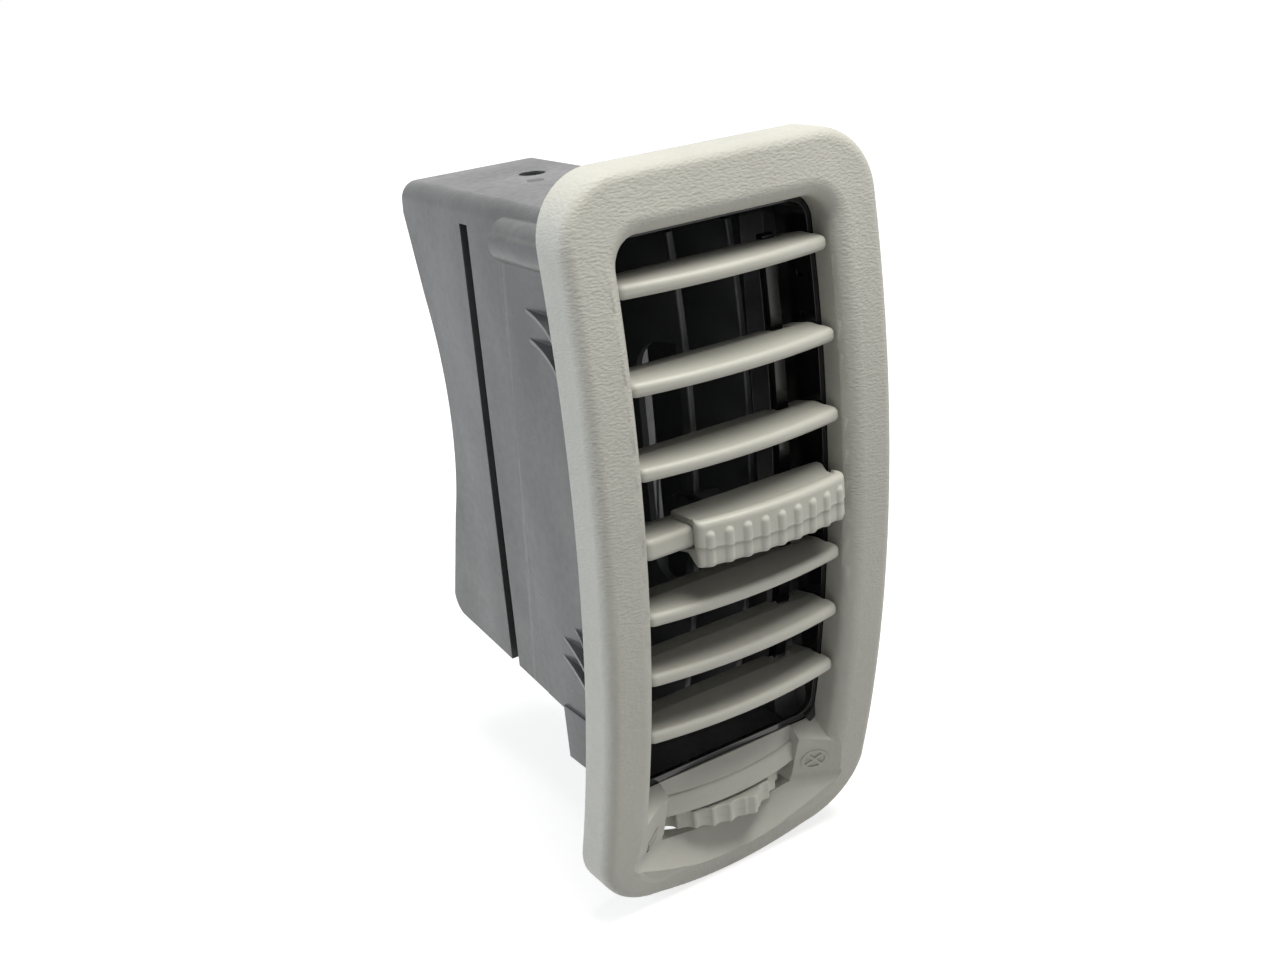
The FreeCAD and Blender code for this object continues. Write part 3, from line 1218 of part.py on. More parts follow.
doc.recompute()
for thing in doc.Objects:
    bad = [word for word in thing.State if word in ("Invalid", "Error")]
    assert not bad, f"{thing.Label} is {thing.State}"
os.makedirs("parts", exist_ok=True)
for body in BODIES:
    assert not body.Shape.isNull() and body.Shape.isValid(), f"{body.Label} has no valid shape"
    body.Shape.exportStep(f"parts/{body.Label}.step")
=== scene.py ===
import json

import bpy
import numpy as np
from mathutils import Matrix, Vector


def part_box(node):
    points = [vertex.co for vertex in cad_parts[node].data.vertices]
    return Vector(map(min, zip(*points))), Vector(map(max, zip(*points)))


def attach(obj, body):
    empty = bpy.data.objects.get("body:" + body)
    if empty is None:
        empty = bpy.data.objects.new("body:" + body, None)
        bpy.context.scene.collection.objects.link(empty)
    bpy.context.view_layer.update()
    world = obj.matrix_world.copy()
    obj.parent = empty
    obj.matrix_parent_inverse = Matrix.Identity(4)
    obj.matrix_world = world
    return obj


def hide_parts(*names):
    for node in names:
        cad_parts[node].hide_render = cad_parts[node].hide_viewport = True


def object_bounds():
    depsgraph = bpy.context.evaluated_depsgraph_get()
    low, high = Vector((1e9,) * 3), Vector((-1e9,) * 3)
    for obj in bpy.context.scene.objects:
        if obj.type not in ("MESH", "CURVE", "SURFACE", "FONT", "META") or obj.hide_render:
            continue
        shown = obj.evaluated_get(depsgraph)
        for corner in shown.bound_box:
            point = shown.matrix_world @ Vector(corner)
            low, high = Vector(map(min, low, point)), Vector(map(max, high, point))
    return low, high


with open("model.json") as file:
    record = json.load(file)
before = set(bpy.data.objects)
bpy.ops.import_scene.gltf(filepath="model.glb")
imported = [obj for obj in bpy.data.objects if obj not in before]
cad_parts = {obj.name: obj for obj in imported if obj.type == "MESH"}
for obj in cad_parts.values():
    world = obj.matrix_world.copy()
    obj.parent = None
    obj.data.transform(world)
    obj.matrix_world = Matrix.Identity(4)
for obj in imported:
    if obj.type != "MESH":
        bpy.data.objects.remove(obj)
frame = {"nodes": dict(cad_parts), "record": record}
cad_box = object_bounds()
MM = 0.001
NODES = frame["nodes"]

# Points on each rounding of a section
ROUND_STEPS = 6

# Longest side of a face, in mm: on a front or rim with relief, then elsewhere
KNOB_SPACING = (0.3, 2.5)
WHEEL_SPACING = (0.2, 3.0)

# Points this near to a plane or radius, in mm, count as on it
NEAR = 0.01

# Edges that bend by more than this, in radians, stay sharp
SHARP_ANGLE = 0.7

# Knob, in mm: heights are from the middle of the slat that it rides on, depths from its front's middle
KNOB_TOP = 5.1  # top at the rear edge
KNOB_LOW = -7.4  # bottom
KNOB_SAG = 3.0  # how far the front's middle stands ahead of its ends
KNOB_DEEP = 15.6  # rear edge
KNOB_WAIST = 8.6  # depth of the waist
KNOB_NIP = 1.9  # draw-in at the waist, each side
KNOB_SLOT = 6.7  # front of the slot for the slat
KNOB_SEAM = -2.7  # height of the mould's seam
KNOB_CORNER = 1.9  # radius of the upright front corners
KNOB_FLASH = 0.16  # how far the seam's flash stands out
KNOB_SEAM_WIDE = 0.1  # half width of the flash and of the step at it
KNOB_SEAM_WAVE = 1.0  # rise of the seam at the knob's ends
KNOB_SEAM_REACH = 2.0  # height over which that rise dies out
KNOB_SEAM_LIMIT = 3.5  # height above which nothing follows the seam
KNOB_LOWER_BACK = 0.32  # how far the lower half stands back
KNOB_FACE_END = (0.6, 1.9)  # depths over which the front's relief fades
KNOB_NIP_REACH = 3.6  # depth over which the draw-in dies out
KNOB_TAIL = 12.0  # depth from which the sides draw in to the rear edge
KNOB_TAIL_NIP = 0.6  # draw-in there, each side
KNOB_CORNER_CARRY = 0.3  # share of the corners' rounding at the rear edge
KNOB_CORNER_FADE = 9.0  # depth from which it sets in
KNOB_ACROSS = 321  # points across the knob
KNOB_CORNER_STEPS = 9  # points round each upright corner
RIB_COUNT = 9
RIB_RADIUS = 1.45
RIB_SET_BACK = 0.65  # how far the ribs' axes lie behind the face
RIB_MARGIN = 3.3  # outer ribs inside the knob's ends
RIB_TOP = 1.05  # height at which the ribs' domes start
RIB_BLEND = 0.01  # softness of the line where a rib meets the face

# Knob's section: depth, height, share that follows the front, and reach of the corner's rounding
KNOB_SECTION = [
    (0, KNOB_LOW, 1, 1.4), (0, 5.0, 1, 1.6), (2.6, 4.95, 1, 0.9), (5.0, 4.1, 0.5, 1.2),
    (8.6, 4.15, 0, 1.6), (12.8, 5.0, 0, 1.0), (KNOB_DEEP, KNOB_TOP, 0, 0.8), (KNOB_DEEP, 3.5, 0, 0.3),
    (KNOB_SLOT, 3.1, 0, 0.2), (KNOB_SLOT, -3.1, 0, 0.2), (KNOB_DEEP - 0.4, -3.5, 0, 0.3),
    (KNOB_DEEP - 0.4, -5.25, 0, 0.4), (10.0, -5.25, 0, 0.5), (8.4, KNOB_LOW, 0, 0.7),
]

# Heights from the knob's seam at which its flash needs points
SEAM_POINTS = [-0.5, -0.3, -0.2, -0.12, -0.06, 0, 0.06, 0.12, 0.2, 0.3, 0.5]

# Step across the duct's sides, in mm: its depth at height 0, how it leans, and where it ends
WALL_STEP = 77.3
WALL_STEP_LEAN = 0.125
WALL_STEP_TOP = 72.5
WALL_STEP_SOFT = 0.8  # half width of its edge
WALL_STEP_FADE = 1.0  # half height of its upper end

# Foam strips round the slat frame's lower corners, in mm
FOAM_HALF = 33.6  # middle line of the upright leg, from the vent's middle
FOAM_LOW = 77.6  # level that the bend heads for, below the origin
FOAM_TOP = 63.0  # upper end of the leg, below the origin
FOAM_CORNER = 8.6  # radius of the bend
FOAM_TURN = 62.0  # how far it bends, in degrees
FOAM_WIDE = 2.6
FOAM_DEEP = 3.0
FOAM_FRONT = 19.3  # front face, behind the origin
FOAM_ROUND = 0.6  # rounding of its corners
FOAM_STEPS = 13  # points along the bend

# Thumbwheel, in mm: radii from its axis, heights from its underside
WHEEL_RADIUS = 25.0
WHEEL_THICK = 5.9
WHEEL_RIM = 3.4  # wall of the rim
WHEEL_RECESS = 3.5  # depth of the recess below
WHEEL_SCALLOP = 3.3  # radius of a scallop
WHEEL_SCALLOP_REACH = 27.3  # radius of the circle that their centres lie on
WHEEL_SCALLOP_PITCH = 12.0  # in degrees
WHEEL_SCALLOPS_EACH_SIDE = 5
WHEEL_TURN = 9.0  # pointer's turn to the right at rest, in degrees
WHEEL_TURN_STEP = 0.5  # angle between points round the wheel, in degrees
WHEEL_POINTER = 1.3  # how far the pointer stands out
POINTER_FLAT = 0.5  # half width of its tip
POINTER_SIDE = 2.1  # width of each slope beside the tip
POINTER_FALL = 1.8  # height of each slope
WHEEL_BORE = 1.7  # radius of the screw's hole
WHEEL_HUB = 6.0  # radius of the hub
WHEEL_SOCKET = 3.1  # radius of the spindle's seat
WHEEL_SOCKET_FLOOR = 3.3  # height of the seat's floor
WHEEL_FLASH = 0.12  # how far the seam's flash stands out
WHEEL_FLASH_WIDE = 0.16  # half width of the flash
WHEEL_LOWER_BACK = 0.12  # how far the lower half stands back
WHEEL_SEAM_WIDE = 0.1  # half width of the step at the seam
WHEEL_SEAM_SLOW = (0.16, 7)  # slow wander of the seam: how far, and waves round the wheel
WHEEL_SEAM_QUICK = (0.08, 23)  # its quick wander
WHEEL_FLASH_UNEVEN = (0.3, 31)  # how the flash's size varies: share, and waves round the wheel
WHEEL_EDGE = (0.8, 0.7)  # from the rim's inner and outer wall: where its relief starts and is full

# Camera, fitted to the photograph: the place in mm, then its right, down and view directions
CAMERA_PLACE = (-204.88, -289.34, 149.55)
CAMERA_RIGHT = (0.83420, -0.54303, -0.09603)
CAMERA_DOWN = (-0.26997, -0.25029, -0.92977)
CAMERA_VIEW = (0.48086, 0.80154, -0.35539)
CAMERA_LENS = 42.474  # focal length in mm
CAMERA_SENSOR = 36  # width in mm
CAMERA_NEAR = 0.01  # nearest distance that it draws, in metres

# Floor, in metres and strengths: its half length, where its glow starts and stops to rise, and its glow there
FLOOR_HALF = 6.0
FLOOR_NEAR, FLOOR_FAR = 0.25, 1.3
GLOW_NEAR, GLOW_FAR = 0.76, 1.0
FLOOR_GREY = (0.42, 0.42, 0.42, 1)
FLOOR_ROUGH = 0.9

# Even light from all round, which the camera doesn't see
SKY_COLOUR = (0.93, 0.95, 1.0, 1)
SKY_STRENGTH = 0.14

# Lamps: name, place and target in metres, size in metres, power in watts, and colour
LAMPS = [
    ("key_top", (0.10, -0.22, 0.94), (0, 0.03, 0), 0.6, 13.0, (1.0, 0.985, 0.91)),
    ("strip_left", (-0.86, 0.46, 0.26), (0, 0.03, 0), 0.5, 5.4, (0.90, 0.95, 1.0)),
    ("fill_front", (-0.1, -1.0, 0.2), (0, 0, 0), 0.8, 0.4, (1.0, 1.0, 1.0)),
    ("glow_right", (0.75, -0.45, -0.02), (0, 0, -0.03), 0.5, 1.6, (1.0, 0.97, 0.92)),
]

# Noise scales, in waves per metre, and how far a texture is stretched along X, Y and Z
SWELL_SCALE = 130.0
WARP_SCALE = 26.0
FLOW_SCALE = 26.0
FINE_SCALE = 420.0
GRAIN_STRETCH = (0.6, 0.6, 1.3)
FLOW_STRETCH = (1.6, 1.6, 0.35)

# Tone: share of the slow drift in it, and the range of the noise that it spreads over
DRIFT_SHARE = 0.75
TONE_RANGE = (0.35, 0.65)

# Bezel's rim, in metres: half width, top and foot of the mouth that it surrounds, and where its grain sets in
# and is full; then the share of the grain that the faces inside it keep
RIM_SIDE, RIM_TOP, RIM_FOOT = 0.031, 0.08, 0.106
RIM_FADE = (-0.001, 0.003)
INNER_GRAIN = 0.12

# Rays that find the normal of a softened edge
EDGE_SAMPLES = 6

# Zinc: share of its light tone that its dark tone has, and spread of its roughness
ZINC_DARK = 0.8
ZINC_SPREAD = 0.15


def make_camera():
    """Camera at the place and with the turn and lens that were fitted to the photograph."""
    data = bpy.data.cameras.new("camera")
    data.lens = CAMERA_LENS
    data.sensor_width = CAMERA_SENSOR
    data.clip_start = CAMERA_NEAR
    camera = bpy.data.objects.new("camera", data)
    bpy.context.scene.collection.objects.link(camera)
    turn = Matrix((CAMERA_RIGHT, [-v for v in CAMERA_DOWN], [-v for v in CAMERA_VIEW])).transposed()
    camera.matrix_world = Matrix.Translation(Vector(CAMERA_PLACE) * MM) @ turn.to_4x4()
    bpy.context.scene.camera = camera


def make_lamp(name, place, target, size, power, colour):
    """A square soft lamp that faces a target."""
    data = bpy.data.lights.new(name, "AREA")
    data.size = size
    data.energy = power
    data.color = colour
    lamp = bpy.data.objects.new(name, data)
    bpy.context.scene.collection.objects.link(lamp)
    aim = (Vector(target) - Vector(place)).to_track_quat("-Z", "Y")
    lamp.matrix_world = Matrix.Translation(Vector(place)) @ aim.to_matrix().to_4x4()


def noise(tree, place, scale, detail=2.0, rough=0.5):
    """A noise texture node that reads a place."""
    node = tree.nodes.new("ShaderNodeTexNoise")
    node.inputs["Scale"].default_value = scale
    node.inputs["Detail"].default_value = detail
    node.inputs["Roughness"].default_value = rough
    tree.links.new(place, node.inputs["Vector"])
    return node


def maths(tree, kind, first, second=None):
    """The output of one arithmetic node. What is given is a number or another node's output."""
    node = tree.nodes.new("ShaderNodeMath")
    node.operation = kind
    for socket, given in zip(node.inputs, (first, second)):
        if given is None:
            continue
        if isinstance(given, (int, float)):
            socket.default_value = given
        else:
            tree.links.new(given, socket)
    return node.outputs["Value"]


def soft_range(tree, value, low, high, start=0.0):
    """Rises smoothly from start at low to 1 at high."""
    node = tree.nodes.new("ShaderNodeMapRange")
    node.interpolation_type = "SMOOTHSTEP"
    node.inputs["From Min"].default_value = low
    node.inputs["From Max"].default_value = high
    node.inputs["To Min"].default_value = start
    tree.links.new(value, node.inputs["Value"])
    return node.outputs["Result"]


def seen_directly(tree):
    """1 for rays of the camera, gloss and glass, and 0 for the light that falls on the part."""
    path = tree.nodes.new("ShaderNodeLightPath")
    mirrored = maths(tree, "MAXIMUM", path.outputs["Is Glossy Ray"], path.outputs["Is Transmission Ray"])
    return maths(tree, "MAXIMUM", path.outputs["Is Camera Ray"], mirrored)


def make_world():
    """Even pale light; the camera, gloss and glass see plain white."""
    world = bpy.data.worlds.new("studio")
    bpy.context.scene.world = world
    world.use_nodes = True
    tree = world.node_tree
    tree.nodes.clear()
    plain = tree.nodes.new("ShaderNodeBackground")
    plain.inputs["Color"].default_value = SKY_COLOUR
    plain.inputs["Strength"].default_value = SKY_STRENGTH
    white = tree.nodes.new("ShaderNodeBackground")
    white.inputs["Color"].default_value = (1, 1, 1, 1)
    white.inputs["Strength"].default_value = 1.0
    mix = tree.nodes.new("ShaderNodeMixShader")
    out = tree.nodes.new("ShaderNodeOutputWorld")
    tree.links.new(seen_directly(tree), mix.inputs["Fac"])
    tree.links.new(plain.outputs["Background"], mix.inputs[1])
    tree.links.new(white.outputs["Background"], mix.inputs[2])
    tree.links.new(mix.outputs["Shader"], out.inputs["Surface"])


def make_floor():
    """Pale floor under the vent: white to the camera where it is lit, darker where the vent shades it."""
    low = cad_box[0][2]
    mesh = bpy.data.meshes.new("floor")
    corners = [(-1, -1), (1, -1), (1, 1), (-1, 1)]
    mesh.from_pydata([(x * FLOOR_HALF, y * FLOOR_HALF, low) for x, y in corners], [], [(0, 1, 2, 3)])
    floor = bpy.data.objects.new("floor", mesh)
    bpy.context.scene.collection.objects.link(floor)
    material = bpy.data.materials.new("floor_paper")
    material.use_nodes = True
    tree = material.node_tree
    shader = tree.nodes["Principled BSDF"]
    shader.inputs["Base Color"].default_value = FLOOR_GREY
    shader.inputs["Roughness"].default_value = FLOOR_ROUGH
    place = tree.nodes.new("ShaderNodeTexCoord").outputs["Object"]
    away = tree.nodes.new("ShaderNodeVectorMath")
    away.operation = "LENGTH"
    tree.links.new(place, away.inputs[0])
    strength = tree.nodes.new("ShaderNodeMapRange")
    strength.inputs["From Min"].default_value = FLOOR_NEAR
    strength.inputs["From Max"].default_value = FLOOR_FAR
    strength.inputs["To Min"].default_value = GLOW_NEAR
    strength.inputs["To Max"].default_value = GLOW_FAR
    tree.links.new(away.outputs["Value"], strength.inputs["Value"])
    glow = tree.nodes.new("ShaderNodeEmission")
    glow.inputs["Color"].default_value = (1, 1, 1, 1)
    tree.links.new(strength.outputs["Result"], glow.inputs["Strength"])
    add = tree.nodes.new("ShaderNodeAddShader")
    mix = tree.nodes.new("ShaderNodeMixShader")
    out = tree.nodes["Material Output"]
    tree.links.new(shader.outputs["BSDF"], add.inputs[0])
    tree.links.new(glow.outputs["Emission"], add.inputs[1])
    tree.links.new(seen_directly(tree), mix.inputs["Fac"])
    tree.links.new(shader.outputs["BSDF"], mix.inputs[1])
    tree.links.new(add.outputs["Shader"], mix.inputs[2])
    tree.links.new(mix.outputs["Shader"], out.inputs["Surface"])
    mesh.materials.append(material)


def new_group(name, inputs, outputs):
    """An empty shader node group with named number or colour sockets."""
    group = bpy.data.node_groups.new(name, "ShaderNodeTree")
    for label, kind, start in inputs:
        socket = group.interface.new_socket(name=label, in_out="INPUT", socket_type=kind)
        socket.default_value = start
    for label, kind in outputs:
        group.interface.new_socket(name=label, in_out="OUTPUT", socket_type=kind)
    entry = group.nodes.new("NodeGroupInput")
    leave = group.nodes.new("NodeGroupOutput")
    return group, entry, leave


def make_grain_group():
    """Moulded grain: cells of a fine leather texture over a slow swell, a wavy wall, and a low step across
    the duct's sides. The step's edge is the line where the depth plus a share of the height is constant.
    Puts out a height."""
    group, entry, leave = new_group(
        "moulded_grain",
        [("Cell Scale", "NodeSocketFloat", 900.0), ("Cells", "NodeSocketFloat", 0.6), ("Swell", "NodeSocketFloat", 0.2),
         ("Warp", "NodeSocketFloat", 0.0), ("Step", "NodeSocketFloat", 0.0)],
        [("Height", "NodeSocketFloat")])
    place = group.nodes.new("ShaderNodeTexCoord").outputs["Object"]
    stretch = group.nodes.new("ShaderNodeMapping")
    stretch.inputs["Scale"].default_value = GRAIN_STRETCH
    group.links.new(place, stretch.inputs["Vector"])
    cells = group.nodes.new("ShaderNodeTexVoronoi")
    cells.feature = "SMOOTH_F1"
    group.links.new(stretch.outputs["Vector"], cells.inputs["Vector"])
    group.links.new(entry.outputs["Cell Scale"], cells.inputs["Scale"])
    swell = noise(group, place, SWELL_SCALE, detail=2.0)
    first = maths(group, "MULTIPLY", cells.outputs["Distance"], entry.outputs["Cells"])
    second = maths(group, "MULTIPLY", swell.outputs["Fac"], entry.outputs["Swell"])
    warp = noise(group, place, WARP_SCALE, detail=1.0)
    slow = maths(group, "MULTIPLY", warp.outputs["Fac"], entry.outputs["Warp"])
    split = group.nodes.new("ShaderNodeSeparateXYZ")
    group.links.new(place, split.inputs["Vector"])
    lean = maths(group, "MULTIPLY", split.outputs["Z"], WALL_STEP_LEAN)
    past = maths(group, "SUBTRACT", maths(group, "ADD", split.outputs["Y"], lean), WALL_STEP * MM)
    ahead = soft_range(group, past, WALL_STEP_SOFT * MM, -WALL_STEP_SOFT * MM)
    upper, lower = (WALL_STEP_TOP + WALL_STEP_FADE) * MM, (WALL_STEP_TOP - WALL_STEP_FADE) * MM
    below = soft_range(group, split.outputs["Z"], upper, lower)
    wall = maths(group, "MULTIPLY", maths(group, "MULTIPLY", ahead, below), entry.outputs["Step"])
    parts = maths(group, "ADD", maths(group, "ADD", first, second), maths(group, "ADD", slow, wall))
    group.links.new(parts, leave.inputs["Height"])
    return group


def make_tone_group():
    """Slow colour drift of moulded plastic: flow marks and handling. Puts out a colour and a roughness."""
    group, entry, leave = new_group(
        "plastic_tone",
        [("Light", "NodeSocketColor", (0.4, 0.4, 0.38, 1)), ("Dark", "NodeSocketColor", (0.36, 0.36, 0.34, 1)),
         ("Smooth", "NodeSocketFloat", 0.4), ("Rough", "NodeSocketFloat", 0.5)],
        [("Color", "NodeSocketColor"), ("Roughness", "NodeSocketFloat")])
    place = group.nodes.new("ShaderNodeTexCoord").outputs["Object"]
    flow = group.nodes.new("ShaderNodeMapping")
    flow.inputs["Scale"].default_value = FLOW_STRETCH
    group.links.new(place, flow.inputs["Vector"])
    slow = noise(group, flow.outputs["Vector"], FLOW_SCALE, detail=3.0)
    fine = noise(group, place, FINE_SCALE, detail=2.0)
    blend = maths(group, "ADD", maths(group, "MULTIPLY", slow.outputs["Fac"], DRIFT_SHARE),
                  maths(group, "MULTIPLY", fine.outputs["Fac"], 1 - DRIFT_SHARE))
    spread = group.nodes.new("ShaderNodeMapRange")
    spread.inputs["From Min"].default_value, spread.inputs["From Max"].default_value = TONE_RANGE
    group.links.new(blend, spread.inputs["Value"])
    mix = group.nodes.new("ShaderNodeMix")
    mix.data_type = "RGBA"
    group.links.new(spread.outputs["Result"], mix.inputs["Factor"])
    group.links.new(entry.outputs["Light"], mix.inputs[6])
    group.links.new(entry.outputs["Dark"], mix.inputs[7])
    group.links.new(mix.outputs[2], leave.inputs["Color"])
    span = maths(group, "SUBTRACT", entry.outputs["Rough"], entry.outputs["Smooth"])
    rough = maths(group, "ADD", entry.outputs["Smooth"], maths(group, "MULTIPLY", span, fine.outputs["Fac"]))
    group.links.new(rough, leave.inputs["Roughness"])
    return group


def make_rim_group():
    """1 on the bezel's outer rim and a small share on the smoother faces inside it: the rim is where the
    largest of the distances past the mouth's side, top and foot is above zero."""
    group, entry, leave = new_group(
        "rim_mask",
        [("Side", "NodeSocketFloat", RIM_SIDE), ("Top", "NodeSocketFloat", RIM_TOP),
         ("Foot", "NodeSocketFloat", RIM_FOOT)],
        [("Mask", "NodeSocketFloat")])
    place = group.nodes.new("ShaderNodeTexCoord").outputs["Object"]
    split = group.nodes.new("ShaderNodeSeparateXYZ")
    group.links.new(place, split.inputs["Vector"])
    side = maths(group, "SUBTRACT", maths(group, "ABSOLUTE", split.outputs["X"]), entry.outputs["Side"])
    top = maths(group, "SUBTRACT", split.outputs["Z"], entry.outputs["Top"])
    foot = maths(group, "SUBTRACT", maths(group, "MULTIPLY", split.outputs["Z"], -1.0), entry.outputs["Foot"])
    past = maths(group, "MAXIMUM", maths(group, "MAXIMUM", side, top), foot)
    group.links.new(soft_range(group, past, *RIM_FADE, start=INNER_GRAIN), leave.inputs["Mask"])
    return group


GRAIN = make_grain_group()
RIM = make_rim_group()
TONE = make_tone_group()


def make_plastic(name, light, dark, smooth, rough, cells=0.6, swell=0.2, scale=900.0, depth=0.00006,
                 warp=0.0, step=0.0, edge=0.0, specular=0.5, rim=False):
    """Moulded plastic. Its colour drifts between a light and a dark tone and its roughness between smooth and
    rough. Its bump has shares of cells, swell, warp and the duct's step, with the cells' scale per metre and
    the bump's depth in metres. Edges are softened to a radius in metres, and a rim's grain fades inwards."""
    material = bpy.data.materials.new(name)
    material.use_nodes = True
    tree = material.node_tree
    shader = tree.nodes["Principled BSDF"]
    tone = tree.nodes.new("ShaderNodeGroup")
    tone.node_tree = TONE
    tone.inputs["Light"].default_value = (*light, 1)
    tone.inputs["Dark"].default_value = (*dark, 1)
    tone.inputs["Smooth"].default_value = smooth
    tone.inputs["Rough"].default_value = rough
    grain = tree.nodes.new("ShaderNodeGroup")
    grain.node_tree = GRAIN
    grain.inputs["Cell Scale"].default_value = scale
    grain.inputs["Cells"].default_value = cells
    grain.inputs["Swell"].default_value = swell
    grain.inputs["Warp"].default_value = warp
    grain.inputs["Step"].default_value = step
    bump = tree.nodes.new("ShaderNodeBump")
    bump.inputs["Strength"].default_value = 1.0
    bump.inputs["Distance"].default_value = depth
    if rim:
        mask = tree.nodes.new("ShaderNodeGroup")
        mask.node_tree = RIM
        tree.links.new(mask.outputs["Mask"], bump.inputs["Strength"])
    if edge:
        soft = tree.nodes.new("ShaderNodeBevel")
        soft.samples = EDGE_SAMPLES
        soft.inputs["Radius"].default_value = edge
        tree.links.new(soft.outputs["Normal"], bump.inputs["Normal"])
    tree.links.new(grain.outputs["Height"], bump.inputs["Height"])
    tree.links.new(tone.outputs["Color"], shader.inputs["Base Color"])
    tree.links.new(tone.outputs["Roughness"], shader.inputs["Roughness"])
    tree.links.new(bump.outputs["Normal"], shader.inputs["Normal"])
    shader.inputs["Specular IOR Level"].default_value = specular
    return material


def make_metal(name, colour, rough):
    """Zinc-plated steel, whose tone and roughness drift with a slow and a fine noise."""
    material = bpy.data.materials.new(name)
    material.use_nodes = True
    tree = material.node_tree
    shader = tree.nodes["Principled BSDF"]
    tone = tree.nodes.new("ShaderNodeGroup")
    tone.node_tree = TONE
    tone.inputs["Light"].default_value = (*colour, 1)
    tone.inputs["Dark"].default_value = (*[c * ZINC_DARK for c in colour], 1)
    tone.inputs["Smooth"].default_value = rough
    tone.inputs["Rough"].default_value = rough + ZINC_SPREAD
    tree.links.new(tone.outputs["Color"], shader.inputs["Base Color"])
    tree.links.new(tone.outputs["Roughness"], shader.inputs["Roughness"])
    shader.inputs["Metallic"].default_value = 1.0
    return material


BEZEL_GREY = make_plastic("bezel_grained_grey", (0.515, 0.510, 0.472), (0.465, 0.460, 0.426), 0.5, 0.62,
                          cells=0.8, swell=0.3, scale=1500, depth=0.00018, edge=0.0003, specular=0.4, rim=True)
TRIM_GREY = make_plastic("trim_fine_grey", (0.50, 0.495, 0.452), (0.462, 0.457, 0.418), 0.38, 0.5,
                         cells=0.3, swell=0.3, scale=2600, depth=0.00005, warp=2.0, edge=0.0003, specular=0.45)
GLOSS_BLACK = make_plastic("frame_gloss_black", (0.012, 0.012, 0.013), (0.008, 0.008, 0.009), 0.10, 0.2,
                           cells=0.05, swell=0.3, scale=500, depth=0.00003, warp=3.0, edge=0.0003)
DUCT_GREY = make_plastic("duct_satin_grey", (0.100, 0.102, 0.105), (0.052, 0.054, 0.056), 0.24, 0.38,
                         cells=0.2, swell=0.5, scale=1200, depth=0.00006, warp=30.0, step=16.0, edge=0.0004)
VANE_GREY = make_plastic("vane_dark_grey", (0.070, 0.073, 0.078), (0.055, 0.058, 0.062), 0.4, 0.55,
                         cells=0.2, swell=0.4, scale=1500, depth=0.00004, warp=6.0, edge=0.0003)
SOFT_BLACK = make_plastic("seal_soft_black", (0.02, 0.02, 0.02), (0.014, 0.014, 0.014), 0.75, 0.9,
                          cells=0.6, swell=0.6, scale=2200, depth=0.00008)
SCREW_ZINC = make_metal("screw_zinc", (0.62, 0.61, 0.58), 0.28)

FINISHES = {
    "bezel": BEZEL_GREY, "slat_frame": GLOSS_BLACK, "duct_housing": DUCT_GREY, "frame_screws": SCREW_ZINC,
    "slat_link": GLOSS_BLACK, "knob": TRIM_GREY, "knob_fork": VANE_GREY, "knob_pad": SOFT_BLACK,
    "vane_left": VANE_GREY, "vane_right": VANE_GREY, "vane_link": VANE_GREY,
    "thumbwheel": TRIM_GREY, "wheel_crank": VANE_GREY, "wheel_screw": SCREW_ZINC,
    "damper_flap": VANE_GREY, "damper_seal": SOFT_BLACK, "damper_crank": VANE_GREY,
    "crank_screw": SCREW_ZINC, "damper_link": VANE_GREY,
}
for number in range(1, 8):
    FINISHES[f"slat_{number}"] = TRIM_GREY


def finish_node(name, material):
    """Gives a CAD node its material."""
    mesh = NODES[name].data
    if mesh.materials:
        mesh.materials[0] = material
    else:
        mesh.materials.append(material)


for node_name, finish in FINISHES.items():
    finish_node(node_name, finish)


def ramp(value, low, high):
    """Rises smoothly from 0 at low to 1 at high: 3 s^2 - 2 s^3 of the share s of the way."""
    share = np.clip((value - low) / (high - low), 0, 1)
    return share * share * (3 - 2 * share)


def rounded_loop(corners, steps=ROUND_STEPS):
    """Closed line through corners, whose last column is how far the rounding reaches along each side.
    Each rounding is the parabola whose control point is the corner."""
    corners = np.asarray(corners, float)
    points, reach = corners[:, :-1], corners[:, -1:]

    def towards(neighbour):
        """Points on the way from each corner to its neighbour, as far as the rounding reaches."""
        way = neighbour - points
        return points + way / np.linalg.norm(way[:, :2], axis=1, keepdims=True) * reach

    start, end = towards(np.roll(points, 1, axis=0)), towards(np.roll(points, -1, axis=0))
    s = np.linspace(0, 1, steps)[None, :, None]
    arcs = (1 - s) ** 2 * start[:, None] + 2 * s * (1 - s) * points[:, None] + s ** 2 * end[:, None]
    return arcs.reshape(-1, points.shape[1])


def refined(loop, spacing):
    """The closed loop with each side cut into equal lengths, no longer than that side's spacing."""
    side = np.roll(loop, -1, axis=0) - loop
    count = np.maximum(np.ceil(np.linalg.norm(side[:, :2], axis=1) / spacing), 1).astype(int)
    start = np.repeat(np.arange(len(loop)), count)
    share = (np.arange(len(start)) - np.repeat(np.cumsum(count) - count, count)) / count[start]
    return loop[start] + side[start] * share[:, None]


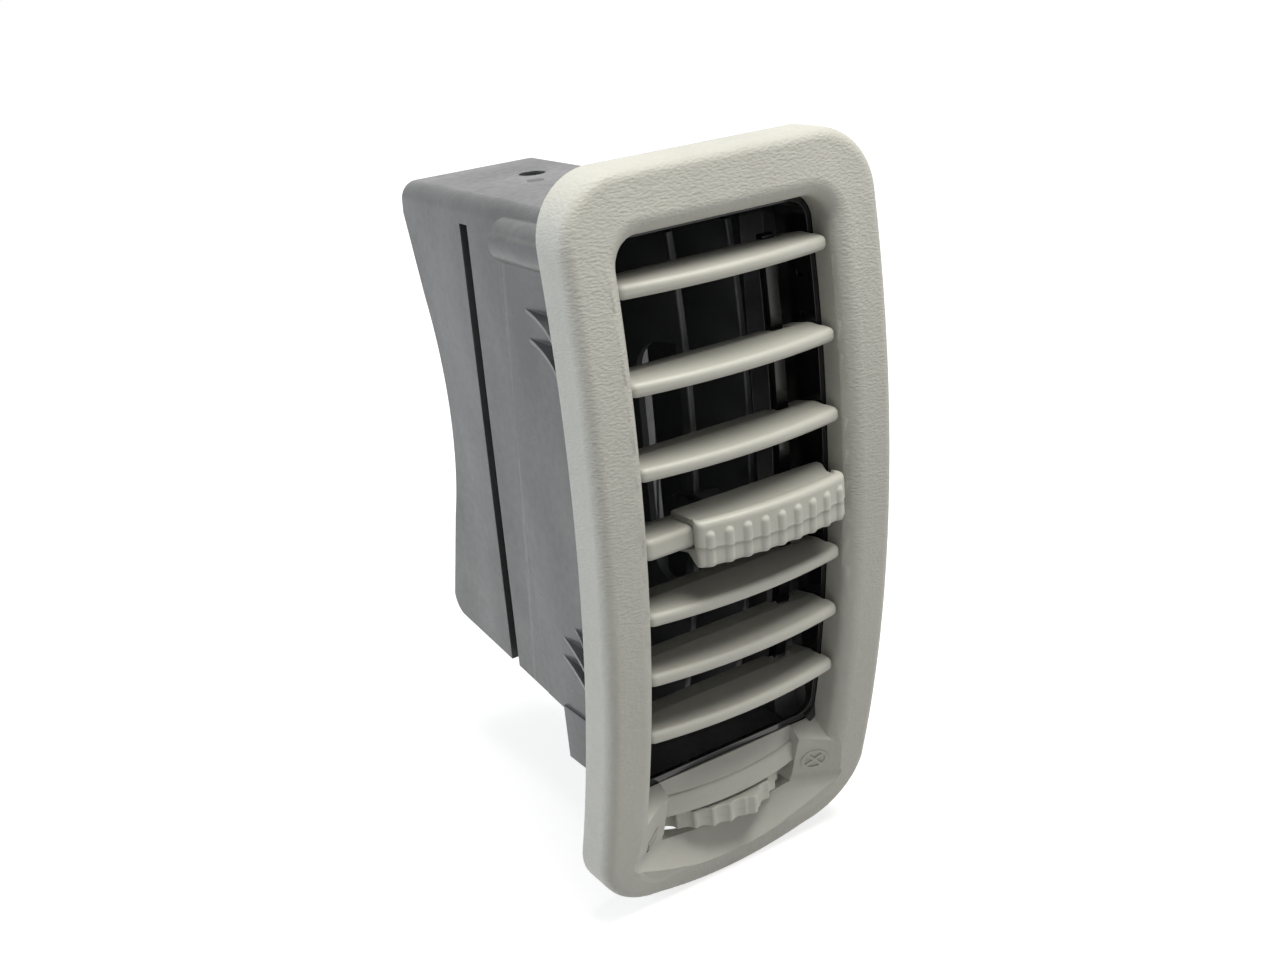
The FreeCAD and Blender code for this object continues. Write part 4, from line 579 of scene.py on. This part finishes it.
def make_surface(name, grid, material, body, stands_for, capped):
    """Closed piece from a grid of points in mm. Its second direction always closes on itself. The first does
    too, or is capped by one face at each end."""
    rows, columns = grid.shape[:2]
    index = np.arange(rows * columns).reshape(rows, columns)
    here = index[:-1] if capped else index
    after = index[1:] if capped else np.roll(index, -1, axis=0)
    quads = np.stack([here, after, np.roll(after, -1, axis=1), np.roll(here, -1, axis=1)], axis=-1)
    faces = quads.reshape(-1, 4).tolist()
    if capped:
        faces += [index[0].tolist(), index[-1, ::-1].tolist()]
    mesh = bpy.data.meshes.new(name)
    mesh.from_pydata((grid.reshape(-1, 3) * MM).tolist(), [], faces)
    mesh.polygons.foreach_set("use_smooth", np.ones(len(mesh.polygons), bool))
    mesh.set_sharp_from_angle(angle=SHARP_ANGLE)
    mesh.materials.append(material)
    piece = bpy.data.objects.new(name, mesh)
    bpy.context.scene.collection.objects.link(piece)
    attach(piece, body)
    if stands_for:
        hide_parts(stands_for)


def make_knob():
    """Slider of the fourth slat. A C-shaped section, open to the rear, is carried across it. Its front keeps
    to an arc, as deep as the sag times the square of the share x of the half width, and to quarter circles at
    the ends. A rib stands out by sqrt(r^2 - a^2 - b^2) less how far it is set back, for its radius r, the distance
    a from its middle and the height b above its top; a soft maximum with 0 blends it in. The flash at the seam
    and the draw-in at the waist are bell curves, exp(-s^2) of the distance s over its reach. The seam rises
    towards the ends by x squared, and takes the points near it along by such a curve."""
    low, high = (np.array(corner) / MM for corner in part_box("knob"))
    half = (high[0] - low[0]) / 2
    nose = low[1] + RIB_RADIUS - RIB_SET_BACK + KNOB_FLASH
    section = rounded_loop(KNOB_SECTION)
    beside = np.array(SEAM_POINTS)
    seam = np.stack([0 * beside, KNOB_SEAM + beside, 0 * beside + 1], axis=1)
    section = np.insert(section, ROUND_STEPS, seam, axis=0)
    on_face = (section[:, 0] < NEAR) & (np.roll(section[:, 0], -1) < NEAR)
    depth, height, front = refined(section, np.where(on_face, *KNOB_SPACING)).T
    bend = np.sin(np.linspace(0, np.pi / 2, KNOB_CORNER_STEPS))
    ends = half - KNOB_CORNER + KNOB_CORNER * bend
    even = np.linspace(-half, half, KNOB_ACROSS)
    x = np.unique(np.round(np.concatenate([-ends, even, ends]), 4))[:, None]
    edge = np.clip(np.abs(x) - half + KNOB_CORNER, 0, KNOB_CORNER)
    corner = KNOB_CORNER - np.sqrt(KNOB_CORNER ** 2 - edge ** 2)
    arc = KNOB_SAG * (x / half) ** 2
    from_seam = height - KNOB_SEAM
    follows = np.exp(-(from_seam / KNOB_SEAM_REACH) ** 2)
    wave = KNOB_SEAM_WAVE * (x / half) ** 2 * follows * ramp(-height, -KNOB_SEAM_LIMIT, 0)
    z = height + wave * front
    pitch = 2 * (half - RIB_MARGIN) / (RIB_COUNT - 1)
    along = x + half - RIB_MARGIN
    across = along - pitch * np.clip(np.round(along / pitch), 0, RIB_COUNT - 1)
    dome = RIB_RADIUS ** 2 - across ** 2 - np.clip(z - RIB_TOP, 0, None) ** 2
    swell = np.sqrt(np.clip(dome, 0, None)) - RIB_SET_BACK
    rib = (swell + np.sqrt(swell ** 2 + RIB_BLEND)) / 2 - RIB_BLEND
    upper = ramp(from_seam, -KNOB_SEAM_WIDE, KNOB_SEAM_WIDE)
    flash = KNOB_FLASH * np.exp(-(from_seam / KNOB_SEAM_WIDE) ** 2)
    relief = (rib + KNOB_LOWER_BACK * upper - KNOB_LOWER_BACK + flash) * front * (1 - ramp(depth, *KNOB_FACE_END))
    carried = KNOB_CORNER_CARRY * corner * ramp(depth, KNOB_CORNER_FADE, KNOB_DEEP)
    y = depth + front * (arc + corner) - relief - carried
    nip = KNOB_NIP * np.exp(-((y - KNOB_WAIST) / KNOB_NIP_REACH) ** 2) + KNOB_TAIL_NIP * ramp(y, KNOB_TAIL, KNOB_DEEP)
    grid = np.stack([(low[0] + high[0]) / 2 + x * (1 - nip / half), nose + y, high[2] - KNOB_TOP + z], axis=-1)
    make_surface("knob_slider", grid, TRIM_GREY, "knob", "knob", capped=True)


def make_thumbwheel():
    """Ribbed wheel. A profile with a recess below and a bore is carried round the axis. At an angle t from
    a scallop's middle the rim's radius is c cos t - sqrt(r^2 - (c sin t)^2), the near wall of a circle of radius
    r whose centre lies at c, and at the pointer it is a wedge where that stands further out. The mould's seam
    runs round the middle of the rim as a fine flash, whose height and size vary with sines of the angle."""
    low = np.array(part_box("thumbwheel")[0]) / MM
    axis = next(joint for joint in frame["record"]["behaviour"]["joints"] if joint["name"] == "wheel_turn")
    centre = np.array(axis["pos_m"]) / MM
    recess = WHEEL_RADIUS - WHEEL_RIM
    profile = rounded_loop([
        (WHEEL_BORE, 0, 0.2), (WHEEL_HUB, 0, 0.3), (WHEEL_HUB, WHEEL_RECESS, 0.3), (recess, WHEEL_RECESS, 0.4),
        (recess, 0, 0.3), (WHEEL_RADIUS, 0, 0.5), (WHEEL_RADIUS, WHEEL_THICK, 0.5),
        (WHEEL_SOCKET, WHEEL_THICK, 0.2), (WHEEL_SOCKET, WHEEL_SOCKET_FLOOR, 0.1),
        (WHEEL_BORE, WHEEL_SOCKET_FLOOR, 0.1)], steps=4)
    middle = WHEEL_THICK / 2
    on_rim = np.minimum(profile[:, 0], np.roll(profile[:, 0], -1)) > WHEEL_RADIUS - NEAR
    radius, height = refined(profile, np.where(on_rim, *WHEEL_SPACING)).T
    turn = np.radians(np.arange(0, 360, WHEEL_TURN_STEP))[:, None]
    angle = (turn + np.pi) % (2 * np.pi) - np.pi
    pitch = np.radians(WHEEL_SCALLOP_PITCH)
    step = np.clip(np.round(np.abs(angle) / pitch), 1, WHEEL_SCALLOPS_EACH_SIDE)
    off = np.abs(angle) - step * pitch
    inside = np.clip(WHEEL_SCALLOP ** 2 - (WHEEL_SCALLOP_REACH * np.sin(off)) ** 2, 0, None)
    scallop = np.where(inside > 0, WHEEL_SCALLOP_REACH * np.cos(off) - np.sqrt(inside), WHEEL_RADIUS)
    side = np.clip(np.abs(angle) * WHEEL_RADIUS - POINTER_FLAT, 0, None)
    wedge = np.where(side < POINTER_SIDE, WHEEL_RADIUS + WHEEL_POINTER - side * POINTER_FALL / POINTER_SIDE, 0)
    rim = np.maximum(np.minimum(scallop, WHEEL_RADIUS), wedge)
    (slow, slow_waves), (quick, quick_waves) = WHEEL_SEAM_SLOW, WHEEL_SEAM_QUICK
    seam = middle + slow * np.sin(slow_waves * angle) + quick * np.sin(quick_waves * angle + 1)
    uneven, uneven_waves = WHEEL_FLASH_UNEVEN
    size = 1 - uneven + uneven * np.sin(uneven_waves * angle)
    flash = WHEEL_FLASH * np.exp(-((height - seam) / WHEEL_FLASH_WIDE) ** 2) * size
    lower = 1 - ramp(height - seam, -WHEEL_SEAM_WIDE, WHEEL_SEAM_WIDE)
    relief = rim - WHEEL_RADIUS + flash - WHEEL_LOWER_BACK * lower
    inner, outer = WHEEL_EDGE
    reach = radius + relief * ramp(radius, recess + inner, WHEEL_RADIUS - outer)
    way = angle + np.radians(WHEEL_TURN)
    grid = np.stack([centre[0] + reach * np.sin(way), centre[1] - reach * np.cos(way),
                     low[2] + np.broadcast_to(height, reach.shape)], axis=-1)
    make_surface("thumbwheel_ribbed", grid, TRIM_GREY, "wheel", "thumbwheel", capped=False)


def make_foam_strip(name, side):
    """Soft strip between the bezel and a lower corner of the slat frame. A rounded oblong is carried down
    a straight leg and round a part of a circle; side is 1 on the right and -1 on the left."""
    turn = np.radians(np.linspace(0, FOAM_TURN, FOAM_STEPS))
    bend = np.stack([FOAM_HALF - FOAM_CORNER + FOAM_CORNER * np.cos(turn),
                     FOAM_CORNER - FOAM_LOW - FOAM_CORNER * np.sin(turn)], axis=1)
    path = np.vstack([[(FOAM_HALF, -FOAM_TOP)], bend])
    along = np.gradient(path, axis=0)
    along /= np.linalg.norm(along, axis=1, keepdims=True)
    outward = np.stack([-along[:, 1], along[:, 0]], axis=1)
    wide = FOAM_WIDE / 2
    section = rounded_loop([(-wide, 0, FOAM_ROUND), (-wide, FOAM_DEEP, FOAM_ROUND),
                            (wide, FOAM_DEEP, FOAM_ROUND), (wide, 0, FOAM_ROUND)])
    flat = path[:, None] + outward[:, None] * section[None, :, :1]
    depth = np.broadcast_to(FOAM_FRONT + section[None, :, 1], flat.shape[:2])
    grid = np.stack([side * flat[..., 0], depth, flat[..., 1]], axis=-1)[:, ::-side]
    make_surface(name, grid, SOFT_BLACK, "housing", None, capped=True)


make_knob()
make_thumbwheel()
make_foam_strip("frame_foam_right", 1)
make_foam_strip("frame_foam_left", -1)
bpy.context.scene.view_settings.view_transform = "Standard"
make_camera()
make_world()
make_floor()
for lamp_values in LAMPS:
    make_lamp(*lamp_values)
